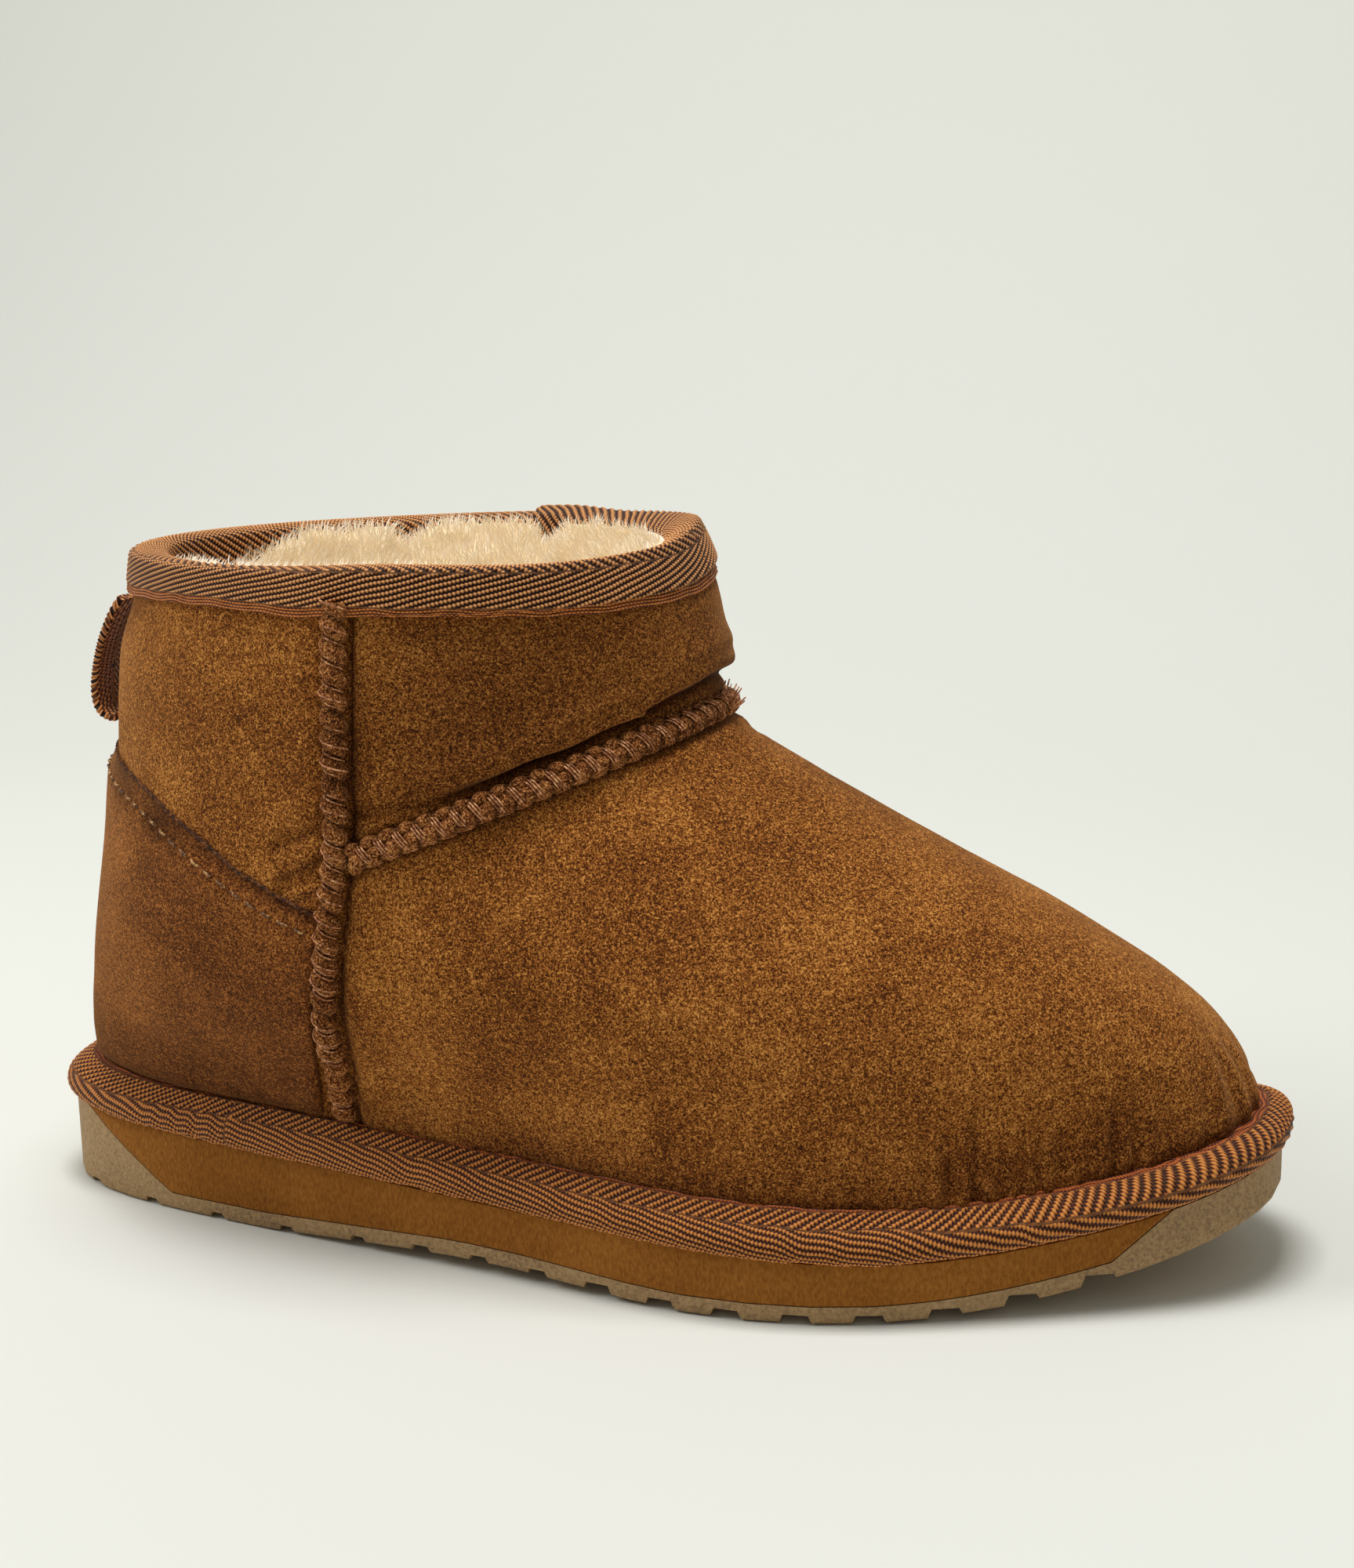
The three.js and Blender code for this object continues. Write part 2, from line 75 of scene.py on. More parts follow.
def finish_of(name, roughness, **sockets):
    """A named material, its tree and its shader, with the constants on the shader's own sockets."""
    made = bpy.data.materials.new(name)
    made.use_nodes = True
    tree = made.node_tree
    shader = tree.nodes["Principled BSDF"]
    shader.inputs["Roughness"].default_value = roughness
    for socket, value in sockets.items():
        shader.inputs[socket.replace("_", " ")].default_value = value
    return made, tree, shader


def grain(tree, size, **settings):
    """Noise laid on the boot's own coordinates, with grains of about this size."""
    place = node(tree, "ShaderNodeTexCoord")
    return node(
        tree, "ShaderNodeTexNoise", {"Scale": 1 / size, **settings}, {"Vector": (place, "Object")}
    )


def weighed(tree, *parts, base=0.0):
    """A base plus the sum of some sockets, each given as node, socket and weight."""
    total = None
    for source, socket, weight in parts:
        made = node(
            tree, "ShaderNodeMath", {"operation": "MULTIPLY_ADD", 1: weight, 2: base},
            {0: (source, socket)},
        )
        if total:
            tree.links.new(total.outputs[0], made.inputs[2])
        total = made
    return total


def coloured(tree, shader, source, stops):
    """Gives the shader the colours of a ramp read at a node's first output."""
    tone = node(tree, "ShaderNodeValToRGB", {"stops": stops}, {"Fac": (source, 0)})
    tree.links.new(tone.outputs["Color"], shader.inputs["Base Color"])
    return tone


def tinted(tree, shader, tone, attribute, code):
    """Multiplies the shader's ramp by a colour where the mesh's attribute is 1."""
    where = node(tree, "ShaderNodeAttribute", {"attribute_name": attribute})
    made = node(
        tree, "ShaderNodeMix", {"data_type": "RGBA", "blend_type": "MULTIPLY", 7: paint(code)},
        {0: (where, "Fac"), 6: (tone, "Color")},
    )
    tree.links.new(made.outputs[2], shader.inputs["Base Color"])


def embossed(tree, shader, source, strength, depth):
    """Gives the shader a bump as high as a node's first output."""
    relief = node(
        tree, "ShaderNodeBump", {"Strength": strength, "Distance": depth}, {"Height": (source, 0)}
    )
    tree.links.new(relief.outputs["Normal"], shader.inputs["Normal"])


def merged_copy(name, angle=50):
    """A copy of a CAD node's mesh with its doubles merged and its triangles joined into quads."""
    bm = bmesh.new()
    bm.from_mesh(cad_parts[name].data)
    bmesh.ops.remove_doubles(bm, verts=bm.verts, dist=0.001 * MM)
    bmesh.ops.join_triangles(
        bm, faces=bm.faces, angle_face_threshold=radians(angle), angle_shape_threshold=pi
    )
    return bm


def placed(name, data):
    """A new object in the scene."""
    made = bpy.data.objects.new(name, data)
    bpy.context.scene.collection.objects.link(made)
    return made


def piece_of(bm, name, material, nodes=(), hard=40):
    """Turns a bmesh into a smooth-shaded piece on the boot's one body and material."""
    mesh = bpy.data.meshes.new(name)
    bm.to_mesh(mesh)
    bm.free()
    mesh.shade_smooth()
    mesh.set_sharp_from_angle(angle=radians(hard))
    mesh.materials.append(material)
    piece = placed(name, mesh)
    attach(piece, "root")
    if nodes:
        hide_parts(*nodes)
    return piece


def hard_edges(bm, angle):
    """The edges of a bmesh whose two faces meet at more than this angle in degrees."""
    return [e for e in bm.edges if len(e.link_faces) == 2 and e.calc_face_angle(0) > radians(angle)]


def rounded_block(name, rounding, chosen=lambda edge: True):
    """A CAD node's mesh with its flat faces merged and its chosen hard edges rounded."""
    bm = merged_copy(name)
    bmesh.ops.dissolve_limit(
        bm, angle_limit=radians(1.5), verts=bm.verts, edges=bm.edges, use_dissolve_boundaries=False
    )
    bmesh.ops.bevel(
        bm, geom=list(filter(chosen, hard_edges(bm, 38))), offset=rounding, offset_type="OFFSET",
        affect="EDGES", segments=2, profile=0.5, material=-1, clamp_overlap=True,
    )
    return bm


RUBBER_SPECK = 0.8 * MM
CLOUD = 30 * MM
# Moulded rubber: matt, faintly speckled by its filler, a touch greyer than the foam above it.
rubber, tree, shader = finish_of("moulded_taupe_rubber", 0.72, IOR=1.5, Specular_IOR_Level=0.35)
specks = grain(tree, RUBBER_SPECK, Detail=4, Roughness=0.7)
clouds = grain(tree, CLOUD, Detail=2)
mixed = weighed(tree, (specks, 0, 0.7), (clouds, 0, 0.3))
coloured(tree, shader, mixed, [(0.36, "#7d6246"), (0.5, "#a28258"), (0.64, "#b5966c")])
embossed(tree, shader, specks, 0.35, 0.12 * MM)

TREAD_ROUND = 0.55 * MM
bm = rounded_block("outsole", TREAD_ROUND, lambda e: all(f.normal.z < 0.5 for f in e.link_faces))
piece_of(bm, "outsole_rubber", rubber, ["outsole"], hard=30)


# Midsole: a wedge of light ochre EVA foam, cut to the outline and sanded to a matt, suede-like side.
# It is cemented onto the outsole between the two rubber wedges, and the welt tape covers its top edge.
FOAM_PORE = 0.55 * MM
# Sanded foam: matt, with fine pores drawn out upright by the sanding belt.
foam, tree, shader = finish_of("sanded_eva_foam", 0.85, IOR=1.45, Specular_IOR_Level=0.2)
place = node(tree, "ShaderNodeTexCoord")
stretch = node(
    tree, "ShaderNodeMapping", {"Scale": (1, 1, 0.45)}, {"Vector": (place, "Object")}
)
pores = node(
    tree, "ShaderNodeTexNoise", {"Scale": 1 / FOAM_PORE, "Detail": 3, "Roughness": 0.65},
    {"Vector": (stretch, "Vector")},
)
clouds = grain(tree, CLOUD, Detail=2)
mixed = weighed(tree, (clouds, 0, 0.35), (pores, 0, 0.65))
coloured(tree, shader, mixed, [(0.34, "#764410"), (0.5, "#8f581b"), (0.66, "#a56c2a")])
embossed(tree, shader, pores, 0.4, 0.12 * MM)

FOAM_ROUND = 0.1 * MM
FOAM_GROWTH = 0.1 * MM
bm = rounded_block("midsole", FOAM_ROUND)
bm.normal_update()
for v in bm.verts:
    v.co += v.normal * FOAM_GROWTH
piece_of(bm, "midsole_foam", foam, ["midsole"], hard=30)


# Footbed: a foam insole covered with the same cream sheepskin as the lining, laid loose in the boot.
# Foot pressure leaves its wool in low tufts, so its top is softly lumpy.


def softened(bm, levels, crisp=0.9):
    """The bmesh rounded by a Subdivision Surface that keeps its hard edges, as a new bmesh."""
    crease = bm.edges.layers.float.new("crease_edge")
    for edge in hard_edges(bm, 50):
        edge[crease] = crisp
    mesh = bpy.data.meshes.new("work")
    bm.to_mesh(mesh)
    bm.free()
    work = placed("work", mesh)
    rounding = work.modifiers.new("rounding", "SUBSURF")
    rounding.levels = levels
    rounding.render_levels = levels
    made = bmesh.new()
    made.from_object(work, bpy.context.evaluated_depsgraph_get())
    bpy.data.objects.remove(work)
    bpy.data.meshes.remove(mesh)
    return made


def share(low, high, value):
    """How far value is from low to high, from 0 to 1, eased at both ends."""
    t = min(1.0, max(0.0, (value - low) / (high - low)))
    return t * t * (3 - 2 * t)


WOOL_CURL = 1.6 * MM
WOOL_TUFT = 9 * MM
# Painted light: the strength and colour of the wool's faint glow.
WOOL_GLOW = 0.08
# Shorn sheepskin wool: cream, very soft sheen, bright tips and warm yellow depths.
WOOL_GLOW_COLOUR = "#ffe8c4"
wool, tree, shader = finish_of(
    "shorn_sheep_wool", 0.9, Specular_IOR_Level=0.15,
    Sheen_Weight=0.35, Sheen_Roughness=0.5, Sheen_Tint=paint("#fff4de"),
    Subsurface_Weight=0.6, Subsurface_Scale=3 * MM, Subsurface_Radius=(1.0, 0.8, 0.6),
    Emission_Color=paint(WOOL_GLOW_COLOUR),
)
curls = grain(tree, WOOL_CURL, Detail=4, Distortion=1.2)
tufts = grain(tree, WOOL_TUFT, Detail=2)
mixed = weighed(tree, (tufts, 0, 0.5), (curls, 0, 0.5))
coloured(tree, shader, mixed, [(0.34, "#f6d8a8"), (0.5, "#ffecca"), (0.62, "#fff7e6")])
embossed(tree, shader, curls, 0.5, 0.5 * MM)
# Painted light: a faint warm glow near the mouth, standing in for light that scatters on from fibre to
# fibre.
mouth_glow = node(tree, "ShaderNodeAttribute", {"attribute_name": "glow"})
painted_glow_strength = node(tree, "ShaderNodeMath", {"operation": "MULTIPLY", 1: WOOL_GLOW}, {0: (mouth_glow, "Fac")})
tree.links.new(painted_glow_strength.outputs[0], shader.inputs["Emission Strength"])

bm = softened(merged_copy("insole"), 2)
bm.normal_update()
for v in bm.verts:
    tuft = 0.6 * noise.noise(v.co / (5 * MM)) + 0.3 * noise.noise(v.co / (2.2 * MM))
    v.co += v.normal * max(0.0, v.normal.z) * (0.8 + tuft) * MM
footbed = piece_of(bm, "footbed_fleece", wool, ["insole"], hard=180)


# Upper: three panels of brushed twin-face sheepskin, suede side out: the vamp and two shaft halves.
# The hide is soft and thick, so it puffs beside each seam, folds above the vamp and puckers at the toe.


def centre_line(name, planes):
    """The middle of a sewn roll's CAD solid where it meets each plane, in order."""
    line = []
    for point, normal in planes:
        bm = bmesh.new()
        bm.from_mesh(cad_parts[name].data)
        cut = bmesh.ops.bisect_plane(
            bm, geom=bm.verts[:] + bm.edges[:] + bm.faces[:], dist=1e-7,
            plane_co=point, plane_no=normal, clear_inner=True, clear_outer=True,
        )
        found = [e.co.copy() for e in cut["geom_cut"] if isinstance(e, bmesh.types.BMVert)]
        bm.free()
        if found:
            line.append(sum(found, Vector()) / len(found))
    return line


def lengths_of(points):
    """How far along a polyline each of its points is."""
    lengths = [0.0]
    for a, b in zip(points, points[1:]):
        lengths.append(lengths[-1] + (b - a).length)
    return lengths


def resampled(points, count):
    """A polyline again as this many equal steps."""
    lengths = lengths_of(points)
    result = []
    i = 0
    for k in range(count + 1):
        target = lengths[-1] * k / count
        while i < len(lengths) - 2 and lengths[i + 1] < target:
            i += 1
        t = (target - lengths[i]) / max(1e-9, lengths[i + 1] - lengths[i])
        result.append(points[i].lerp(points[i + 1], min(1.0, t)))
    return result


def evenly(points, step):
    """Points at equal steps along a polyline, eased once so that it has no corners."""
    eased = [points[0]]
    for a, b, c in zip(points, points[1:], points[2:]):
        eased.append((a + b * 2 + c) / 4)
    eased.append(points[-1])
    return resampled(eased, max(2, round(lengths_of(eased)[-1] / step)))


def tree_of(points):
    """A search tree that finds the nearest of some points."""
    made = KDTree(len(points))
    for i, point in enumerate(points):
        made.insert(point, i)
    made.balance()
    return made


STEP = 0.5 * MM
SHAFT_AXIS = Vector((-50 * MM, 0, 0))
side_planes = [(Vector((0, 0, z * MM)), UP) for z in range(28, 135, 2)]
vamp_planes = []
for i in range(61):
    turn = radians(-80 + 160 * i / 60)
    vamp_planes.append((SHAFT_AXIS, Vector((-sin(turn), cos(turn), 0))))
lateral_line = evenly(centre_line("side_seam_lateral", side_planes), STEP)
medial_line = evenly(centre_line("side_seam_medial", side_planes), STEP)
# They run on under the collar tape.
for line in (lateral_line, medial_line):
    for _ in range(9):
        line.append(line[-1] * 2 - line[-2])
vamp_line = evenly(centre_line("vamp_seam", vamp_planes), STEP)
# Both ends run on under the side seams.
for _ in range(7):
    vamp_line.insert(0, vamp_line[0] * 2 - vamp_line[1])
    vamp_line.append(vamp_line[-1] * 2 - vamp_line[-2])


SLUMP = 3.2 * MM


def slump(bm):
    """Lowers the mouth at its front lateral corner, where the soft wall has settled."""
    for v in bm.verts:
        front = share(-42 * MM, 4 * MM, v.co.x) * (1 - share(-14 * MM, 14 * MM, v.co.y))
        v.co.z -= SLUMP * front * share(124 * MM, 142 * MM, v.co.z)
    bm.normal_update()


upper_skin = softened(merged_copy("upper"), 2)
slump(upper_skin)


def heart(point):
    """A point inside the boot's hollow level with this one, which tells outside faces from inside."""
    lift = share(60 * MM, 100 * MM, point.z)
    low = Vector((max(-95 * MM, min(95 * MM, point.x)), 0, max(25 * MM, min(42 * MM, point.z))))
    return low.lerp(Vector((-50 * MM, 0, point.z)), lift)


def outward(normal, point):
    """A normal at a point of the boot, turned to point out of it."""
    return normal if normal.dot(point - heart(point)) >= 0 else -normal


def faces_out(face):
    """Whether a face looks out of the boot and not into its hollow."""
    middle = face.calc_center_median()
    return face.normal.dot(middle - heart(middle)) > 0


# Beside the vamp seam the folds are only a few millimetres wide, so its faces are cut once more.
# The same is done beside the side seams and over the toe.
vamp_tree = tree_of(vamp_line)
side_trees = [tree_of(lateral_line), tree_of(medial_line)]
close = set()
for face in filter(faces_out, upper_skin.faces):
    middle = face.calc_center_median()
    if vamp_tree.find(middle)[2] < 16 * MM or min(t.find(middle)[2] for t in side_trees) < 7 * MM:
        close.update(face.edges)
    elif middle.x > 55 * MM and middle.z < 52 * MM:
        close.update(face.edges)
bmesh.ops.subdivide_edges(upper_skin, edges=list(close), cuts=1, use_grid_fill=True)
upper_skin.normal_update()
upper_tree = BVHTree.FromBMesh(upper_skin)


def beside(line, index):
    """Direction along a line and the outward normal of the suede at one of its points."""
    ahead = (line[min(index + 3, len(line) - 1)] - line[max(index - 3, 0)]).normalized()
    normal = outward(upper_tree.find_nearest(line[index])[1], line[index])
    normal = (normal - ahead * normal.dot(ahead)).normalized()
    return ahead, normal


vamp_frames = [beside(vamp_line, i) for i in range(len(vamp_line))]
ups = [normal.cross(ahead) for ahead, normal in vamp_frames]
ups = [-upward if upward.z < 0 else upward for upward in ups]
lateral_frames = [beside(lateral_line, i) for i in range(len(lateral_line))]
medial_frames = [beside(medial_line, i) for i in range(len(medial_line))]


def hump(distance, middle, width):
    """A soft bell, 1 at middle and about 0 beyond width on either side."""
    return exp(-(((distance - middle) / (0.55 * width)) ** 2))


WELT_TOP = {}


def tape_top(point):
    """How far a point is above the upper edge of the welt tape, nearby along the outline."""
    key = (round(point.x / (4 * MM)), point.y > 0)
    return point.z - WELT_TOP.get(key, 26 * MM)


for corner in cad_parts["welt_binding"].data.vertices:
    key = (round(corner.co.x / (4 * MM)), corner.co.y > 0)
    WELT_TOP[key] = max(WELT_TOP.get(key, 0), corner.co.z)
for column in range(-34, 35):
    for side in (False, True):
        if (column, side) not in WELT_TOP:
            near = [WELT_TOP[(k, side)] for k in range(column - 3, column + 4) if (k, side) in WELT_TOP]
            WELT_TOP[(column, side)] = sum(near) / len(near) if near else 24 * MM

# The shade attribute is painted shade: where it is 1 the suede is darkened to its painted shade colour.
shade = upper_skin.verts.layers.float.new("shade")
vamp_length = len(vamp_line) * STEP
moves = []
for v in upper_skin.verts:
    p = v.co
    n = v.normal
    if n.dot(p - heart(p)) <= 0:
        continue
    push = 0.42 * noise.noise(p / (27 * MM)) + 0.2 * noise.noise(p / (10 * MM) + Vector((7, 0, 0)))
    slide = Vector()
    dark = 0.0
    # Fold above the vamp seam: deep at mid-length, shallow where it runs out at the side seams.
    _, index, gap = vamp_tree.find(p)
    if gap < 18 * MM:
        upward = ups[index]
        away = (p - vamp_line[index]).dot(upward) / MM
        along = min(index, len(vamp_line) - index) * STEP / MM
        wobble = 0.5 * noise.noise(Vector((along / 9, 0, 4)))
        line_at = 9.0 - 4.6 * share(0, 26, along) + wobble
        depth = 1.0 + 1.5 * share(12, 42, along) - 0.5 * share(62, 76, along)
        push -= depth * hump(away, line_at, 2.4)
        push += (0.5 + 0.9 * share(12, 42, along)) * hump(away, line_at + 4.6, 4.5)
        slide -= upward * share(14, 42, along) * 1.3 * hump(away, line_at + 2.6, 3.0)
        second = 13.5 - 5.0 * share(8, 60, along)
        push -= 0.5 * hump(away, second + wobble, 1.6) * share(30, 44, along)
        push -= 0.9 * hump(away, 0.3, 3.4)
        push += 0.55 * hump(away, -5.0, 3.6)
        push -= 0.5 * hump(away, -8.3 + wobble, 1.6) * share(35, 60, along)
        # Painted shade in the fold above the seam and in the grooves on either side of it.
        dark = max(dark, (0.35 + 0.65 * share(14, 40, along)) * hump(away, line_at, 2.8))
        dark = max(dark, 0.6 * hump(away, -2.8, 1.8))
        dark = max(dark, 0.55 * hump(away, 2.6, 2.2))
    # The side seams draw the hide in; painted shade darkens the gap on their front side, and less so
    # behind them.
    for line_tree, line in zip(side_trees, (lateral_line, medial_line)):
        nearest, index, gap = line_tree.find(p)
        if gap < 12 * MM:
            ahead_of = (p.x - nearest.x) / MM
            push -= 0.9 * hump(ahead_of, 2.9, 1.7)
            push -= 0.4 * hump(ahead_of, -2.8, 1.7)
            push += 0.55 * hump(ahead_of, 7.0, 5.5) + 0.35 * hump(ahead_of, -7.5, 5.5)
            dark = max(dark, 0.95 * hump(ahead_of, 2.9, 1.5), 0.45 * hump(ahead_of, -2.6, 1.6))
    # The hide is lasted under the welt tape: it tucks in there, swells above it and puckers at the toe.
    rise = tape_top(p) / MM
    if rise < 26:
        toe = share(56 * MM, 78 * MM, p.x)
        push += 0.6 * hump(rise, 6.5, 6.5) + (0.9 + 1.0 * toe) * (1 - share(1.0, 7.0, rise))
        if toe > 0:
            around = atan2(p.y, p.x - 76 * MM) * 46
            pleat = sin(around * tau / 6.5 + 2.6 * noise.noise(Vector((around / 13, 3, 0))))
            pleat += 0.8 * noise.noise(Vector((around / 3.5, 0, p.z / (14 * MM))))
            pleat *= 0.4 + 0.6 * share(-0.3, 0.5, noise.noise(Vector((around / 21, 9, 0))))
            push += 0.95 * pleat * toe * (1 - share(6, 22, rise))
            # Painted shade in the hollows of the pleats.
            dark = max(dark, 0.8 * toe * share(0.1, 1.1, -pleat) * (1 - share(6, 22, rise)))
        # Painted shade in a band just above the welt tape, where the hide tucks under it.
        dark = max(dark, 0.4 * (1 - share(-1.0, 4.0, rise)) + 0.3 * (1 - share(2, 18, rise)))
    # Painted shade over the front of the shaft, where it faces away from the lights.
    shaft = share(85 * MM, 92 * MM, p.z - 0.44 * max(0.0, p.x + 41 * MM))
    dark = max(dark, 0.34 * shaft * share(-52 * MM, -18 * MM, p.x))
    moves.append((v, n * (push * MM) + slide * MM))
    v[shade] = min(1.0, dark)
for v, move in moves:
    v.co += move

NAP = 0.38 * MM
FLECK = 1.0 * MM
STROKED_PATCH = 24 * MM


def suede_finish(name, deep, middle, light, painted_shade_colour):
    """Brushed suede: a dense short nap, mottled where it has been stroked, with painted shade where its
    shade attribute is 1.
    """
    made, tree, shader = finish_of(
        name, 0.95, Specular_IOR_Level=0.12,
        Sheen_Weight=0.4, Sheen_Roughness=0.4, Sheen_Tint=paint("#e0a468"),
    )
    nap = grain(tree, NAP, Detail=2, Roughness=0.7, Distortion=0.6)
    fleck = grain(tree, FLECK, Detail=3, Roughness=0.6)
    patch = grain(tree, STROKED_PATCH, Detail=3, Distortion=0.5)
    pile = weighed(tree, (fleck, 0, 0.2), (nap, 0, 0.64))
    mixed = weighed(tree, (pile, 0, 1), (patch, 0, 0.14))
    tone = coloured(tree, shader, mixed, [(0.42, deep), (0.512, middle), (0.6, light)])
    # Painted shade: the colour is multiplied by the painted shade colour where the shade attribute is 1.
    tinted(tree, shader, tone, "shade", painted_shade_colour)
    embossed(tree, shader, pile, 0.75, 0.3 * MM)
    return made


suede = suede_finish("brushed_chestnut_suede", "#401e08", "#96561f", "#dc9b4d", "#62402c")
upper_surface = BVHTree.FromBMesh(upper_skin)
piece_of(upper_skin, "suede_upper", suede, ["upper"], hard=180)


# Heel counter: a second layer of suede round the heel, cut to a shallow curve at its top edge.
# The edge is whipped with a dark cord, and a row of lighter stitches holds it just below.


def tube(bm, line, normals, radius, around=8, sunk=None):
    """Adds a closed round cord along a line; radius(along, turn) gives its radius at each point.
    sunk is a vertex layer with the least and greatest radius, and it is 1 where the cord is thinnest:
    painted shade in the cord's hollows."""
    grid = bmesh.ops.create_grid(
        bm, x_segments=len(line) - 1, y_segments=around, size=0.5, calc_uvs=True
    )["verts"]
    last = len(line) - 1
    lengths = lengths_of(line)
    for v in grid:
        i = round((v.co.x + 0.5) * last)
        turn = (v.co.y + 0.5) * tau
        ahead = (line[min(i + 1, last)] - line[max(i - 1, 0)]).normalized()
        normal = (normals[i] - ahead * normals[i].dot(ahead)).normalized()
        across = ahead.cross(normal)
        reach = radius(lengths[i], turn)
        v.co = line[i] + (normal * cos(turn) + across * sin(turn)) * reach
        if sunk:
            v[sunk[0]] = 1 - (reach - sunk[1]) / (sunk[2] - sunk[1])
    bmesh.ops.remove_doubles(bm, verts=grid, dist=0.0005 * MM)
    open_edges = {e for v in grid if v.is_valid for e in v.link_edges if e.is_boundary}
    bmesh.ops.holes_fill(bm, edges=list(open_edges), sides=0)


def roughened(bm, height=0.0, size=MM):
    """Turns the cords' faces outward and frays their skin by this height in millimetres."""
    bmesh.ops.recalc_face_normals(bm, faces=bm.faces)
    if height:
        for v in bm.verts:
            v.co += v.normal * (height * noise.noise(v.co / size) * MM)
    return bm


def on_surface(surface, point, lift):
    """The nearest place on a surface, lifted off it along the outward normal, and that normal."""
    place, normal, _, _ = surface.find_nearest(point)
    normal = outward(normal, place)
    return place + normal * lift, normal


THREAD_TWIST = 0.9 * MM


def thread_finish(name, deep, middle, light, gloss=0.55):
    """Waxed sewing thread: twisted plies with a slight gloss, with painted shade darkening the lay between
    them.
    """
    made, tree, shader = finish_of(name, gloss, Specular_IOR_Level=0.4)
    plies = grain(tree, THREAD_TWIST, Detail=4, Roughness=0.75)
    coloured(tree, shader, plies, [(0.36, deep), (0.5, middle), (0.62, light)])
    embossed(tree, shader, plies, 0.6, 0.2 * MM)
    return made


dark_cord = thread_finish("dark_whipping_cord", "#1c0c03", "#44220b", "#8a5526", 0.9)
tan_thread = thread_finish("waxed_tan_thread", "#4e240e", "#aa6838", "#f2b884", 0.45)

bm = softened(merged_copy("heel_counter"), 2)
shade = bm.verts.layers.float.new("shade")
for v in bm.verts:
    v.co.x += 2.6 * MM * share(-62 * MM, -50.5 * MM, v.co.x)
bm.normal_update()


def between(stops, at):
    """A value read off straight lines between stops, each a pair of place and value."""
    for (start, a), (end, b) in zip(stops, stops[1:]):
        if at <= end:
            break
    return a + (b - a) * (at - start) / (end - start)


def counter_edge(x):
    """Height of the counter's top edge in millimetres at a place along the boot."""
    return between([(-130, 101.5), (-114, 100.5), (-96, 96.5), (-79, 89), (-64, 81.5), (-44, 73.5)], x)


OUTER_SEAT = 0.55 * MM
INNER_SEAT = -0.3 * MM
for v in bm.verts:
    below = counter_edge(v.co.x / MM) - v.co.z / MM
    outside = v.normal.dot(v.co - heart(v.co)) > 0
    # Towards its edge the patch is skived thin and lies down on the shaft.
    seat, _ = on_surface(upper_surface, v.co, OUTER_SEAT if outside else INNER_SEAT)
    v.co = v.co.lerp(seat, 1 - share(0.3, 4.6, below))
    if not outside:
        continue
    rise = tape_top(v.co) / MM
    push = 0.3 * noise.noise(v.co / (17 * MM)) + 0.25 * hump(rise, 7, 7)
    push -= 0.5 * hump(below, 4.6, 1.2)
    push += 0.35 * hump(below, 2.6, 1.8)
    v.co += v.normal * (push * MM)
    # Painted shade in the groove of the stitch row, under the edge cord and just above the welt tape.
    dark = 0.8 * hump(below, 4.6, 1.0) + 0.9 * (1 - share(0.1, 0.9, below))
    v[shade] = min(1.0, max(dark, 0.4 * (1 - share(-1, 4.5, rise)) + 0.3 * (1 - share(3, 20, rise))))
outer_skin = bm.copy()
inner_faces = [face for face in outer_skin.faces if not faces_out(face)]
bmesh.ops.delete(outer_skin, geom=inner_faces, context="FACES")
counter_surface = BVHTree.FromBMesh(outer_skin)
outer_skin.free()
counter_suede = suede_finish("brushed_counter_suede", "#3a1a07", "#80471c", "#c07d3e", "#5a3826")
piece_of(bm, "heel_patch", counter_suede, ["heel_counter"], hard=60)

# The edge runs from one side seam round the back of the heel to the other.
rough_edge = []
for i in range(121):
    turn = radians(-118 + 236 * i / 120) + pi
    guess = Vector((-66 * MM + 62 * MM * cos(turn), 62 * MM * sin(turn), 0))
    for _ in range(4):
        guess.z = counter_edge(guess.x / MM) * MM
        guess = counter_surface.find_nearest(guess)[0]
    if guess.x < -49 * MM:
        rough_edge.append(guess)
edge_line = evenly(rough_edge, 0.4 * MM)
edge_seats = [on_surface(counter_surface, p, -0.25 * MM) for p in edge_line]
bm = bmesh.new()
tube(
    bm, [p for p, _ in edge_seats], [n for _, n in edge_seats],
    lambda along, turn: (0.22 + 0.22 * abs(sin(pi * (along / (1.9 * MM) + turn / tau))) ** 0.7) * MM,
    around=8,
)
piece_of(roughened(bm), "counter_edge_cord", dark_cord, hard=180)

bm = bmesh.new()
row = evenly([
    on_surface(counter_surface, p - UP * 4.5 * MM, 0)[0] for p in edge_line[::4]
], 0.5 * MM)
for start in range(2, len(row) - 8, 8):
    short = row[start:start + 6]
    seats = [on_surface(counter_surface, p, 0) for p in short]
    bow = [-0.1, 0.22, 0.36, 0.36, 0.22, -0.1]
    tube(
        bm, [p + n * (b * MM) for (p, n), b in zip(seats, bow)], [n for _, n in seats],
        lambda along, turn: 0.3 * MM, around=6,
    )
brown_thread = thread_finish("waxed_brown_thread", "#240f04", "#6a3f1b", "#d9a868", 0.5)
piece_of(roughened(bm), "counter_stitches", brown_thread, hard=180)


